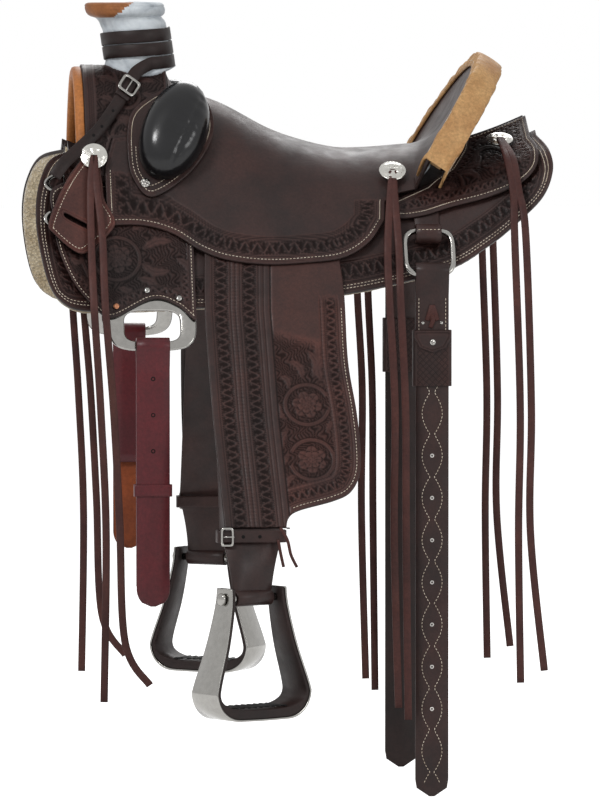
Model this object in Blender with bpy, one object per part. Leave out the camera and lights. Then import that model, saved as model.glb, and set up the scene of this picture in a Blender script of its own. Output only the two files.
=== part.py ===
"""A wade saddle: a slick-fork ranch saddle, built piece by piece in the order a saddler stacks it.

Metres, +Z up. +X runs from the horn to the cantle and the near (left) side is at -Y. The origin lies on
the centre plane, at the level of the tree bars' lower edge, where a horse's back or a rack carries it.

Every flat leather piece is an outline that is laid on the saddle's side at its own layer, counted
outwards from the horse: fleece, skirt, stirrup leather, rigging plate or fender, then the seat.
"""
import math

import bmesh
import bpy
from mathutils import Matrix, Vector

for thing in list(bpy.data.objects):
    bpy.data.objects.remove(thing, do_unlink=True)

NEAR = -1
FAR = 1
SIDES = ((NEAR, "left"), (FAR, "right"))

# The gap between pieces that touch, and the wider one between curved pieces
GAP = 0.0003
CURVED_GAP = 0.0008

# Thickness of each layer
FLEECE = 0.011
SKIRT = 0.005
STRAP = 0.004
PLATE = 0.004
JOCKEY = 0.0045
HOLDER = 0.0035

# Where each layer starts, out from the horse's back
SKIRT_IN = FLEECE + GAP
UNDER_IN = SKIRT_IN + SKIRT + GAP
PLATE_IN = UNDER_IN + STRAP + GAP
SEAT_IN = PLATE_IN + PLATE + GAP
BAR = 0.010
BAR_TIP = 0.0036
BAR_TOP = UNDER_IN + BAR

# The horse's back across the spine: a slope beside the channel, a bend, then a flat side
CHANNEL_HALF = 0.035
CHANNEL_HEIGHT = 0.050
TOP_ANGLE = math.radians(25)
SIDE_ANGLE = math.radians(62)
TOP_RUN = 0.070
BEND_RUN = 0.050
SHOULDER = TOP_RUN + BEND_RUN
BEND_STEPS = 5

# The back rises towards the withers and the loins
LEVEL_FRONT = -0.185
LEVEL_REAR = 0.095
FRONT_RISE = 2.0
REAR_RISE = 1.1
REACH_FRONT = -0.400
REACH_REAR = 0.360
RISE_STEPS = 6

# Outlines seen from the near side, as places along X and heights
SKIRT_EDGE = [
    (-0.318, 0.085), (-0.348, 0.074), (-0.364, 0.043), (-0.369, 0.004), (-0.365, -0.040), (-0.354, -0.085),
    (-0.339, -0.108), (-0.312, -0.121), (-0.250, -0.122), (-0.150, -0.119), (-0.020, -0.108), (0.076, -0.096),
    (0.184, -0.069), (0.239, -0.038), (0.279, -0.007), (0.314, 0.027), (0.329, 0.061), (0.327, 0.088),
    (0.316, 0.106),
]
FLEECE_INSET = 0.004
RIGGING_EDGE = [
    (-0.345, 0.040), (-0.346, 0.000), (-0.340, -0.040), (-0.322, -0.082), (-0.298, -0.112), (-0.270, -0.131),
    (-0.215, -0.107), (-0.182, -0.116), (-0.157, -0.134), (-0.155, -0.090), (-0.156, -0.030), (-0.200, 0.014),
    (-0.290, 0.046),
]
JOCKEY_EDGE = [
    (-0.273, -0.010), (-0.226, -0.010), (-0.186, -0.021), (-0.150, -0.043), (-0.113, -0.056), (-0.061, -0.062),
    (-0.010, -0.060), (0.042, -0.0535), (0.078, -0.033), (0.100, -0.004),
]
REAR_JOCKEY_EDGE = [
    (0.112, 0.014), (0.117, -0.001), (0.150, 0.001), (0.190, 0.013), (0.240, 0.026), (0.283, 0.044),
    (0.306, 0.066), (0.312, 0.090), (0.306, 0.104),
]
REAR_JOCKEY_TOP = [
    (0.306, -0.034), (0.222, -0.034), (0.216, 0.000), (0.196, 0.045), (0.160, 0.078), (0.112, 0.096),
]
HOLDER_EDGE = [
    (-0.288, 0.088), (-0.279, 0.050), (-0.276, 0.022), (-0.263, -0.003), (-0.267, -0.018), (-0.292, -0.040),
    (-0.313, -0.048), (-0.346, -0.022), (-0.352, -0.004), (-0.323, 0.054),
]
HOLDER_SLOT_X = -0.314
HOLDER_SLOT_Z = -0.0065
HOLDER_SLOT_LENGTH = 0.036
HOLDER_SLOT_WIDTH = 0.008

# The tree bars, as places along X and distances down the back, and where they thin
BAR_EDGE = [
    (-0.320, 0.018), (-0.320, 0.074), (-0.270, 0.086), (-0.180, 0.082), (0.000, 0.078), (0.120, 0.086),
    (0.220, 0.086), (0.258, 0.070), (0.262, 0.022), (0.220, 0.012), (0.000, 0.010), (-0.270, 0.012),
]
BAR_TAPER = [0.085, 0.130]

# Fork, seat and cantle
FORK_FRONT = -0.299
FORK_REAR = -0.185
FORK_HEIGHT = 0.208
FORK_FLAT = 0.085
FORK_FOOT = 0.84
COVER = 0.004
TRIM = 0.012
TRIM_BAND = 0.016
TRIM_END = 0.70
GULLET_HEIGHT = 0.152
GULLET_HALF = 0.062
CROWN = [
    (-0.330, FORK_HEIGHT), (LEVEL_FRONT, FORK_HEIGHT), (LEVEL_FRONT + 0.0007, 0.196), (-0.173, 0.177),
    (-0.150, 0.1675), (-0.107, 0.152), (-0.037, 0.1156),
    (0.039, 0.0938), (0.083, 0.0925), (0.144, 0.097),
]
SEAT_FLAT = 0.095
SIDE_PULL = 0.45
DISH_START = 0.144
DISH_RUN = 0.110
DISH_WIDTH = 0.72
RIM_TOP_X = 0.249
RIM_TOP_Z = 0.216
RIM_END_X = 0.156
RIM_END_Z = 0.070
RIM_HALF = 0.158
CANTLE_BOARD = 0.018
CANTLE_BACK = 0.004
GROUND_SEAT = 0.0045
BINDING = 0.0035
BINDING_DEPTH = 0.020
BINDING_END = DISH_WIDTH * 0.985
BOARD_LOW = 0.32
BOARD_HIGH = 0.985
BOARD_SHARE = 0.74
DISH_PARTS = 8

# Horn
HORN_X = -0.220
HORN_LEAN = -0.145
HORN_TOP = 0.2885
CAP_RADIUS = 0.0535
CAP_THICK = 0.020
CAP_FORWARD = 0.010
POST_RADIUS = 0.029
WRAP_RADIUS = 0.044
WRAP_FOOT = 0.185

# Horn strap: two turns round the neck, then down to the upper dee
STRAP_WIDTH = 0.0172
STRAP_THICK = 0.003
STRAP_TURNS = 2
STRAP_PITCH = 0.0185
STRAP_START_Z = 0.2475
STRAP_TURN_STEPS = 20
STRAP_LEAVE = 72
STRAP_RUN = [
    (-0.2270, 0.1850, 0.012), (-0.239, 0.1690, 0.010), (-0.2545, 0.1480, 0.008), (-0.280, 0.1150, 0.009),
    (-0.309, 0.0875, 0.012), (-0.329, 0.0680, 0.016), (-0.343, 0.0520, 0.010),
]

# Bucking rolls
ROLL_BASE_EDGE = [
    (-0.243, 0.084), (-0.2385, 0.1315), (-0.213, 0.156), (-0.172, 0.172), (-0.141, 0.161), (-0.126, 0.1315),
    (-0.131, 0.0975), (-0.162, 0.0553), (-0.211, 0.0254), (-0.236, 0.0485),
]
ROLL_BASE = 0.004
ROLL_HEIGHT = 0.040
ROLL_CENTRE = (-0.180, 0.107)
ROLL_LONG = 0.064
ROLL_SHORT = 0.043
ROLL_TILT = math.radians(62)
ROLL_PROFILE = [
    (0.08, 0.0), (0.36, 0.0), (0.68, 0.0), (0.97, 0.0), (1.0, 0.16), (0.98, 0.42), (0.88, 0.68), (0.68, 0.88),
    (0.38, 0.985), (0.10, 1.0),
]

# Hardware
RIGGING_RING_X = -0.217
RIGGING_RING_TOP = -0.098
RIGGING_RING_BOTTOM = -0.174
RIGGING_RING_HALF = 0.059
RIGGING_BAR = 0.011
RIGGING_HOLE_TOP = -0.122
REAR_RING_X = 0.157
BILLET_X = REAR_RING_X + 0.002
REAR_RING_Z = -0.045
REAR_RING_RADIUS = 0.032
REAR_RING_WIRE = 0.0038
HANGER_BORE = 0.0100
HANGER_WALL = 0.003
HANGER_DROP = 0.0045
HANGER_WIDTH = 0.034
CONCHO_RADIUS = 0.0185
CONCHO_THICK = 0.004
CONCHO_SEAT = 0.0025
DEE_WIDTH = 0.004

# Straps
BILLET_WIDTH = 0.0445
BILLET_THICK = 0.003
LOOP_BORE = 0.0090
LATIGO_BORE = 0.0098
LOOP_CLOSE = 0.0016
LOOP_FOOT = 0.030
LATIGO_LENGTH = 0.345
LATIGO_TAIL = 0.027
OFF_BILLET_LENGTH = 0.300
OFF_BILLET_TAIL = 0.120
FLANK_LENGTH = 0.700
FLANK_TAIL = 0.560
KEEPER_TOP = 0.075
KEEPER_BOTTOM = 0.150
KEEPER_WALL = 0.003
THONG_WIDTH = 0.010
THONG_THICK = 0.003

# Fender, measured down the side from its top edge, and the stirrup leather behind it
FENDER_EDGE = [
    (-0.143, -0.036), (-0.143, -0.036), (-0.146, -0.120), (-0.141, -0.260), (-0.133, -0.375),
    (-0.1315, -0.402), (-0.1315, -0.402), (-0.050, -0.402), (-0.050, -0.402),
    (-0.046, -0.389), (-0.032, -0.380), (0.014, -0.368), (0.037, -0.357), (0.050, -0.335), (0.053, -0.304),
    (0.050, -0.253), (0.042, -0.188), (0.041, -0.098), (0.034, -0.036), (0.034, -0.036),
]
LEATHER_LEFT = -0.1375
LEATHER_WIDTH = 0.082
LEATHER_TOP = -0.036
HOBBLE_Z = -0.412
HOBBLE_WIDTH = 0.016
HOBBLE_ROOM = 0.002
HOBBLE_DEEP = 0.0105
HOBBLE_WALL = 0.003
NECK_WIDTH = 0.060
DROP_START = -0.404
BOLT_Z = -0.492
NECK_REACH = 0.020
BOLT_X = -0.097

# Stirrup, in its own frame on the bolt
STIRRUP_TURN = math.radians(33)
BOLT_RADIUS = 0.005
STIRRUP_TOP_HALF = 0.046
STIRRUP_FOOT_HALF = 0.078
STIRRUP_DROP = 0.158
STIRRUP_RISE = 0.014
METAL = 0.0025
LINING = 0.005
TREAD = 0.012
ARM_DEPTH = 0.030
FOOT_DEPTH = 0.056
FOOT_FLAT = 0.022


def paint(name, colour, roughness, metallic=0.0):
    material = bpy.data.materials.new(name)
    material.use_nodes = True
    shader = material.node_tree.nodes["Principled BSDF"]
    shader.inputs["Base Color"].default_value = (*colour, 1)
    shader.inputs["Roughness"].default_value = roughness
    shader.inputs["Metallic"].default_value = metallic
    return material


COLOURS = {
    "leather": ((0.040, 0.016, 0.013), 0.45, 0),
    "latigo": ((0.150, 0.014, 0.020), 0.5, 0),
    "hide": ((0.58, 0.62, 0.66), 0.8, 0),
    "tan": ((0.48, 0.26, 0.10), 0.6, 0),
    "black": ((0.006, 0.006, 0.007), 0.25, 0),
    "wood": ((0.42, 0.25, 0.12), 0.7, 0),
    "fleece": ((0.66, 0.58, 0.44), 0.95, 0),
    "steel": ((0.60, 0.58, 0.55), 0.25, 1),
}


def finished(name, mesh, look):
    """One named object with a material of its own."""
    body = bpy.data.objects.new(name, mesh)
    bpy.context.scene.collection.objects.link(body)
    mesh.materials.clear()
    mesh.materials.append(paint(name, *COLOURS[look]))
    mesh.shade_smooth()
    mesh.set_sharp_from_angle(angle=math.radians(35))
    return body


def from_bmesh(name, work, look):
    bmesh.ops.recalc_face_normals(work, faces=work.faces)
    mesh = bpy.data.meshes.new(name)
    work.to_mesh(mesh)
    work.free()
    return finished(name, mesh, look)


def curve_through(points, steps, closed=False):
    """A smooth curve through the points, with so many steps to the next. A point given twice is a corner."""
    count = len(points)
    out = []
    for i in range(count if closed else count - 1):
        before = points[(i - 1) % count] if closed or i else points[0]
        here = points[i]
        there = points[(i + 1) % count]
        after = points[(i + 2) % count] if closed or i + 2 < count else points[-1]
        for step in range(steps):
            s = step / steps
            out.append(tuple(
                0.5 * (2 * b + (c - a) * s + (2 * a - 5 * b + 4 * c - d) * s * s
                       + (3 * b - a - 3 * c + d) * s ** 3)
                for a, b, c, d in zip(before, here, there, after)
            ))
    if not closed:
        out.append(tuple(points[-1]))
    return [point for i, point in enumerate(out) if i == 0 or point != out[i - 1]]


def along(points, x):
    """The height at x of the smooth line through points that are given left to right."""
    if x <= points[0][0]:
        return points[0][1]
    for i in range(len(points) - 1):
        (x0, y0), (x1, y1) = points[i], points[i + 1]
        if x <= x1:
            before = points[max(i - 1, 0)]
            after = points[min(i + 2, len(points) - 1)]
            m0 = (y1 - before[1]) / (x1 - before[0])
            m1 = (after[1] - y0) / (after[0] - x0)
            s = (x - x0) / (x1 - x0)
            h = x1 - x0
            return ((2 * s ** 3 - 3 * s * s + 1) * y0 + (s ** 3 - 2 * s * s + s) * h * m0
                    + (3 * s * s - 2 * s ** 3) * y1 + (s ** 3 - s * s) * h * m1)
    return points[-1][1]


# The horse's back, which every layer follows

def back_line(t):
    """Height, reach and slope of the back at a distance t down from the channel."""
    if t <= TOP_RUN:
        return CHANNEL_HALF + t * math.cos(TOP_ANGLE), CHANNEL_HEIGHT - t * math.sin(TOP_ANGLE), TOP_ANGLE
    bend = min(t - TOP_RUN, BEND_RUN)
    turn = (SIDE_ANGLE - TOP_ANGLE) / BEND_RUN
    angle = TOP_ANGLE + turn * bend
    y = CHANNEL_HALF + TOP_RUN * math.cos(TOP_ANGLE) + (math.sin(angle) - math.sin(TOP_ANGLE)) / turn
    z = CHANNEL_HEIGHT - TOP_RUN * math.sin(TOP_ANGLE) + (math.cos(angle) - math.cos(TOP_ANGLE)) / turn
    rest = t - TOP_RUN - bend
    return y + rest * math.cos(angle), z - rest * math.sin(angle), angle


BEND_CUTS = [TOP_RUN + BEND_RUN * i / BEND_STEPS for i in range(BEND_STEPS + 1)]
RISE_CUTS = (
    [REACH_FRONT + (LEVEL_FRONT - REACH_FRONT) * i / RISE_STEPS for i in range(RISE_STEPS + 1)]
    + [LEVEL_REAR + (REACH_REAR - LEVEL_REAR) * i / RISE_STEPS for i in range(RISE_STEPS + 1)]
)


def between(cuts, value):
    """The two cuts on either side of a value and how far it is from the first to the second."""
    for low, high in zip(cuts, cuts[1:]):
        if value <= high:
            return low, high, (value - low) / (high - low)
    return cuts[-2], cuts[-1], (value - cuts[-2]) / (cuts[-1] - cuts[-2])


def exact_lift(x):
    return FRONT_RISE * max(0.0, LEVEL_FRONT - x) ** 2 + REAR_RISE * max(0.0, x - LEVEL_REAR) ** 2


def lift(x):
    """How far the back has risen at x, straight from one cut to the next so that all layers stay parallel."""
    low, high, part = between(RISE_CUTS, x)
    return exact_lift(low) * (1 - part) + exact_lift(high) * part


BACK_CUTS = [-0.05] + BEND_CUTS + [SHOULDER + 0.7]


def on_back(x, t, d, side):
    """A point at x along the saddle, t down its side and d out from the horse."""
    low, high, part = between(BACK_CUTS, t)
    ends = []
    for knot in (low, high):
        y, z, angle = back_line(knot)
        ends.append((y + d * math.sin(angle), z + d * math.cos(angle)))
    y = ends[0][0] * (1 - part) + ends[1][0] * part
    z = ends[0][1] * (1 - part) + ends[1][1] * part
    return Vector((x, side * y, z + lift(x)))


def halved(low, high, wanted, height):
    """Where a height that falls from low to high reaches the one wanted."""
    for _ in range(40):
        middle = (low + high) / 2
        if height(middle) > wanted:
            low = middle
        else:
            high = middle
    return (low + high) / 2


def down_back(x, z, d):
    """How far down the side the layer at d reaches height z."""
    return halved(-0.045, SHOULDER + 0.6, z, lambda t: on_back(x, t, d, FAR).z)


# The seat's surface: over the fork, along the seat, and up the cantle's dish

def section(x, v, out, crown=None, flat=None):
    """The seat's inner surface at x: v is 0 at the centre, 1 at the shoulder and grows down the side."""
    reach = abs(v)
    if reach >= 1:
        return on_back(x, SHOULDER + (reach - 1) * 0.1, SEAT_IN + out, FAR if v > 0 else NEAR)
    height = (along(CROWN, x) if crown is None else crown) - JOCKEY
    wide = flat or (FORK_FLAT + (SEAT_FLAT - FORK_FLAT) * min(1, max(0, (x - FORK_REAR) / 0.1)))
    shoulder = on_back(x, SHOULDER, SEAT_IN, FAR)
    pull = SIDE_PULL * (height - shoulder.z) / math.sin(SIDE_ANGLE)
    corners = [
        Vector((0, height)), Vector((wide, height)),
        Vector((shoulder.y - pull * math.cos(SIDE_ANGLE), shoulder.z + pull * math.sin(SIDE_ANGLE))),
        Vector((shoulder.y, shoulder.z)),
    ]
    place = bezier(corners, reach)
    slope = bezier_slope(corners, reach).normalized()
    normal = Vector((-slope.y, slope.x))
    side = 1 if v >= 0 else -1
    return Vector((x, side * (place.x + out * normal.x), place.y + out * normal.y))


def bezier(corners, s):
    a, b, c, d = corners
    return a * (1 - s) ** 3 + b * 3 * s * (1 - s) ** 2 + c * 3 * s * s * (1 - s) + d * s ** 3


def bezier_slope(corners, s):
    a, b, c, d = corners
    return (b - a) * 3 * (1 - s) ** 2 + (c - b) * 6 * s * (1 - s) + (d - c) * 3 * s * s


def rim(v):
    """The cantle's rim, from one low end at v = -1 over the top to the other."""
    turn = v * math.pi / 2
    rise = max(0.0, math.cos(turn)) ** 0.85
    return Vector((
        RIM_END_X + (RIM_TOP_X - RIM_END_X) * rise,
        RIM_HALF * math.sin(turn),
        RIM_END_Z + (RIM_TOP_Z - RIM_END_Z) * rise,
    ))


def dish(r, v):
    """The seat's inner surface behind DISH_START: r is 0 there and 1 at the rim."""
    reach = v / DISH_WIDTH
    start = section(DISH_START, v, 0)
    end = rim(reach)
    up = Vector((RIM_TOP_X - RIM_END_X, 0, RIM_TOP_Z - RIM_END_Z)).normalized()
    hold = 1 - abs(reach)
    corners = [
        start, start + Vector((0.055 * hold + 0.004, 0, 0)),
        end - up * (0.060 * hold + 0.006), end,
    ]
    return bezier(corners, r)


def on_seat(u, v, out):
    """The seat's surface at u, which is X up to the dish and then runs on up it."""
    if u <= DISH_START:
        return section(u, v, out)
    step = 0.0005
    r = min(1.0, (u - DISH_START) / DISH_RUN)
    place = dish(r, v)
    along_u = dish(min(1.0, r + step), v) - dish(r - step, v)
    edge = min(max(v, -DISH_WIDTH + step), DISH_WIDTH - step)
    along_v = dish(r, edge + step) - dish(r, edge - step)
    normal = along_u.cross(along_v).normalized()
    return place + normal * out


def down_section(x, z, crown=None, flat=None):
    """The place v on the seat's section at x where it reaches height z."""
    return halved(0, 2.6, z, lambda v: section(x, v, 0, crown, flat).z)


def fork_side(x, v, out):
    """The fork's own surface, run on behind it where the bucking rolls stand free of the seat."""
    return section(x, v, out, FORK_HEIGHT, FORK_FLAT)


# Builders

def sheet(name, outline, place, inner, outer, cuts_u, cuts_v, look):
    """A solid of even thickness: an outline cut along lines and laid on a surface.

    A depth is a length, or a function that gives it along the saddle.
    """
    flat = bmesh.new()
    flat.faces.new([flat.verts.new((u, v, 0)) for u, v in outline])
    for values, normal in ((cuts_u, (1, 0, 0)), (cuts_v, (0, 1, 0))):
        for value in values:
            bmesh.ops.bisect_plane(
                flat, geom=flat.verts[:] + flat.edges[:] + flat.faces[:], dist=1e-6,
                plane_co=Vector(normal) * value, plane_no=normal,
            )
    bmesh.ops.dissolve_degenerate(flat, dist=1e-5, edges=flat.edges)
    bmesh.ops.triangulate(flat, faces=[face for face in flat.faces if len(face.verts) > 4])
    solid = bmesh.new()
    flat.verts.index_update()
    levels = []
    for depth in (inner, outer):
        row = []
        for vert in flat.verts:
            u, v = vert.co.x, vert.co.y
            row.append(solid.verts.new(place(u, v, depth(u) if callable(depth) else depth)))
        levels.append(row)
    for face in flat.faces:
        numbers = [vert.index for vert in face.verts]
        solid.faces.new([levels[0][n] for n in reversed(numbers)])
        solid.faces.new([levels[1][n] for n in numbers])
    for edge in flat.edges:
        if len(edge.link_faces) == 1:
            a, b = (vert.index for vert in edge.verts)
            solid.faces.new([levels[0][a], levels[0][b], levels[1][b], levels[1][a]])
    flat.free()
    return from_bmesh(name, solid, look)


def loft(rings, closed=False):
    """A solid through rings of as many points each, capped at its ends unless it closes on itself."""
    work = bmesh.new()
    made = [[work.verts.new(point) for point in ring] for ring in rings]
    count = len(made[0])
    pairs = list(zip(made, made[1:])) + ([(made[-1], made[0])] if closed else [])
    for ring, following in pairs:
        for i in range(count):
            j = (i + 1) % count
            work.faces.new([ring[i], ring[j], following[j], following[i]])
    if not closed:
        caps = [work.faces.new(made[0]), work.faces.new(list(reversed(made[-1])))]
        for cap in caps:
            cap.normal_update()
        if count > 4:
            bmesh.ops.triangulate(work, faces=caps)
    return work


def hollow_loft(outer, inner):
    """A tube through outer and inner rings, open at both ends."""
    rings = list(outer) + list(reversed(inner))
    return loft(rings, closed=True)


def circle(centre, radius, across, up, count):
    return [
        centre + across * (radius * math.cos(2 * math.pi * i / count))
        + up * (radius * math.sin(2 * math.pi * i / count))
        for i in range(count)
    ]


def ribbon(path, width_ways, width, thick):
    """A flat strap along a path; width_ways gives the direction across it at each point."""
    rings = []
    for i, point in enumerate(path):
        before = path[max(i - 1, 0)]
        after = path[min(i + 1, len(path) - 1)]
        run = (after - before).normalized()
        across = width_ways[i] - run * width_ways[i].dot(run)
        across = across.normalized() * (width / 2)
        out = run.cross(across).normalized() * (thick / 2)
        rings.append([point - across - out, point + across - out, point + across + out, point - across + out])
    return rings


def cut_by(body, cutter, operation="DIFFERENCE"):
    """Cut one body by another, or join it to it, for good."""
    change = body.modifiers.new("cut", "BOOLEAN")
    change.object = cutter
    change.operation = operation
    change.solver = "EXACT"
    evaluated = body.evaluated_get(bpy.context.evaluated_depsgraph_get())
    mesh = bpy.data.meshes.new_from_object(evaluated)
    body.modifiers.clear()
    old = body.data
    body.data = mesh
    bpy.data.meshes.remove(old)
    bpy.data.objects.remove(cutter, do_unlink=True)


def rod(name, start, end, radius, count, look="steel"):
    run = (end - start).normalized()
    across = run.orthogonal().normalized()
    up = run.cross(across)
    rings = [circle(start, radius, across, up, count), circle(end, radius, across, up, count)]
    return from_bmesh(name, loft(rings), look)


def cuts_inside(cuts, low, high):
    return [cut for cut in cuts if low + 0.002 < cut < high - 0.002]


def side_sheet(name, edge, inner, outer, side, look, top=None, level=None, inset=0.0, steps=2):
    """A sheet on the horse's side. Its edge is a run of places seen from the side, read at one level.

    Where top is given, the outline closes along those places, each with its distance down the back.
    """
    points = curve_through(edge, steps, closed=top is None)
    level = inner if level is None else level
    outline = [(x, down_back(x, z, level) - inset) for x, z in points]
    if top is not None:
        outline = outline + top
    outline = [(x + inset if x < 0 else x - inset, t) for x, t in outline]
    low = min(x for x, _ in outline)
    high = max(x for x, _ in outline)
    shallow = min(t for _, t in outline)
    deep = max(t for _, t in outline)
    return sheet(
        name, outline, lambda x, t, d: on_back(x, t, d, side), inner, outer,
        cuts_inside(RISE_CUTS, low, high), cuts_inside(BEND_CUTS, shallow, deep), look,
    )


# Tree

def fork_ring(x, out, arch, foot):
    """The fork's outline across the saddle at x: its outer face, its feet on the bars and the gullet's arch."""
    foot_v = FORK_FOOT
    steps = 9
    outer = [section(x, foot_v * i / steps, out, FORK_HEIGHT, FORK_FLAT) for i in range(-steps, steps + 1)]
    half = GULLET_HALF - arch
    foot_t = halved(-0.02, SHOULDER, -half, lambda t: -on_back(x, t, BAR_TOP + foot, FAR).y)
    inner_foot = on_back(x, foot_t, BAR_TOP + foot, FAR)
    far_t = halved(0, SHOULDER + 0.1, -outer[-1].y + 0.004, lambda t: -on_back(x, t, BAR_TOP + foot, FAR).y)
    mid_feet = [on_back(x, t, BAR_TOP + foot, FAR) for t in (far_t, BEND_CUTS[1], BEND_CUTS[0])]
    top = GULLET_HEIGHT - arch
    spring = inner_foot.z
    arch_points = []
    for i in range(9):
        turn = math.pi * i / 8
        arch_points.append(Vector((
            x, inner_foot.y * math.cos(turn), spring + (top - spring) * math.sin(turn) ** 0.8,
        )))
    right = outer + mid_feet + arch_points
    left_feet = [Vector((x, -point.y, point.z)) for point in reversed(mid_feet)]
    return right + left_feet


def fork_stations(front, rear):
    return [front] + cuts_inside(RISE_CUTS, front, rear) + [rear]


def build_tree():
    stations = fork_stations(FORK_FRONT + COVER + GAP, FORK_REAR - COVER - GAP)
    tree_out = -(COVER + 2 * GAP)
    from_bmesh("tree_fork", loft([fork_ring(x, tree_out, -COVER - GAP, GAP) for x in stations]), "wood")
    for side, name in SIDES:
        sheet(
            f"tree_bar_{name}", BAR_EDGE, lambda x, t, d: on_back(x, t, d, side), UNDER_IN, bar_top,
            cuts_inside(RISE_CUTS, BAR_EDGE[0][0], 0.262) + BAR_TAPER, cuts_inside(BEND_CUTS, 0.010, 0.086),
            "wood",
        )


def bar_top(x):
    """The bar's upper face, which thins to its tip under the rear jockey."""
    start, end = BAR_TAPER
    share = min(1, max(0, (x - start) / (end - start)))
    return UNDER_IN + BAR + (BAR_TIP - BAR) * share


def build_fork_cover():
    stations = fork_stations(FORK_FRONT, FORK_REAR)
    cover = from_bmesh("fork_cover", loft([fork_ring(x, -CURVED_GAP, 0, GAP) for x in stations]), "leather")
    hollow = fork_stations(FORK_FRONT + COVER, FORK_REAR - COVER)
    rings = [fork_ring(x, -COVER - GAP, -COVER, -0.012) for x in hollow]
    cut_by(cover, from_bmesh("hollow", loft(rings), "wood"))
    hole = rod(
        "hole", Vector((horn_axis(0.17), 0, 0.17)), Vector((horn_axis(0.23), 0, 0.23)),
        POST_RADIUS + CURVED_GAP, 20,
    )
    cut_by(cover, hole)


def build_gullet_trim():
    """The tan band along the fork's front edge, following its outer outline."""
    rings = []
    steps = 24
    for i in range(steps + 1):
        v = TRIM_END * (2 * i / steps - 1)
        front = FORK_FRONT - GAP - TRIM
        back = FORK_FRONT - GAP
        outer = section(FORK_FRONT, v, -0.0015, FORK_HEIGHT, FORK_FLAT)
        inner = section(FORK_FRONT, v, -TRIM_BAND, FORK_HEIGHT, FORK_FLAT)
        ring = []
        for x, point in ((front, outer), (back, outer), (back, inner), (front, inner)):
            ring.append(Vector((x, point.y, point.z)))
        rings.append(ring)
    from_bmesh("gullet_trim", loft(rings), "tan")


# Horn

def horn_axis(z):
    return HORN_X + HORN_LEAN * (z - 0.22)


def horn_ring(z, radius, forward, count):
    centre = Vector((horn_axis(z) - forward, 0, z))
    return circle(centre, radius, Vector((1, 0, 0)), Vector((0, 1, 0)), count)


def build_horn():
    count = 24
    under = HORN_TOP - CAP_THICK
    profile = [
        (FORK_HEIGHT - JOCKEY - COVER - 2 * GAP, POST_RADIUS, 0), (under - 0.006, POST_RADIUS, 0),
        (under, CAP_RADIUS - 0.010, CAP_FORWARD), (under + 0.006, CAP_RADIUS - 0.001, CAP_FORWARD),
        (HORN_TOP - 0.006, CAP_RADIUS, CAP_FORWARD), (HORN_TOP - 0.0015, CAP_RADIUS - 0.003, CAP_FORWARD),
        (HORN_TOP, CAP_RADIUS - 0.007, CAP_FORWARD),
    ]
    from_bmesh("horn", loft([horn_ring(z, r, f, count) for z, r, f in profile]), "tan")
    top = under - 0.0075
    heights = [WRAP_FOOT, 0.196, 0.222, 0.2575, top]
    radii = [WRAP_RADIUS + 0.004, WRAP_RADIUS, WRAP_RADIUS, WRAP_RADIUS, WRAP_RADIUS + 0.003]
    outer = [horn_ring(z, r, 0, count) for z, r in zip(heights, radii)]
    inner = [horn_ring(z, POST_RADIUS + GAP + 0.0005, 0, count) for z in heights]
    wrap = from_bmesh("horn_wrap", hollow_loft(outer, inner), "hide")
    block = [fork_ring(x, -CURVED_GAP + GAP, 0.03, -0.02) for x in fork_stations(-0.34, -0.14)]
    cut_by(wrap, from_bmesh("block", loft(block), "wood"))


def strap_route():
    """The horn strap's path: turns down the neck, then the run over the fork to the upper dee."""
    path = []
    ways = []
    radius = WRAP_RADIUS + CURVED_GAP + STRAP_THICK / 2 + GAP
    total = STRAP_TURNS * 360 + STRAP_LEAVE
    steps = int(total / 360 * STRAP_TURN_STEPS)
    for i in range(steps + 1):
        turned = total * i / steps
        angle = -math.radians(turned)
        z = STRAP_START_Z - STRAP_PITCH * turned / 360
        path.append(Vector((horn_axis(z) + radius * math.cos(angle), radius * math.sin(angle), z)))
        ways.append(Vector((HORN_LEAN, 0, 1)))
    wound = len(path)
    for x, z, out in STRAP_RUN:
        v = down_section(x, z, FORK_HEIGHT, FORK_FLAT)
        path.append(fork_side(x, -v, out))
        ways.append(Vector((0.70, 0, 0.71)))
    return path, ways, wound


def least_self_gap(path, width, wound, steps):
    """The least gap between one turn of the winding and the next."""
    least = 1.0
    for i in range(wound):
        for j in range(i + steps - 4, min(wound, i + steps + 5)):
            least = min(least, (path[i] - path[j]).length - width)
    return least


def build_horn_strap():
    path, ways, wound = strap_route()
    from_bmesh("horn_strap", loft(ribbon(path, ways, STRAP_WIDTH, STRAP_THICK)), "leather")
    gap = least_self_gap(path, STRAP_WIDTH, wound, STRAP_TURN_STEPS)
    print(f"horn strap: least gap between its turns {gap * 1000:.2f} mm")
    return path, ways, wound


def frame_on(centre, long_way, out, length, width, wire, thick):
    """A flat rectangular frame, such as a buckle's."""
    across = out.cross(long_way).normalized()
    outer = []
    inner = []
    for sign_a, sign_b in ((-1, -1), (1, -1), (1, 1), (-1, 1)):
        outer.append((sign_a * length / 2, sign_b * width / 2))
        inner.append((sign_a * (length / 2 - wire), sign_b * (width / 2 - wire)))
    rings = []
    for (a, b), (c, d) in zip(outer, inner):
        far = centre + long_way * a + across * b
        near = centre + long_way * c + across * d
        lift_out = out * (thick / 2)
        rings.append([far - lift_out, far + lift_out, near + lift_out, near - lift_out])
    return loft(rings, closed=True)


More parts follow.
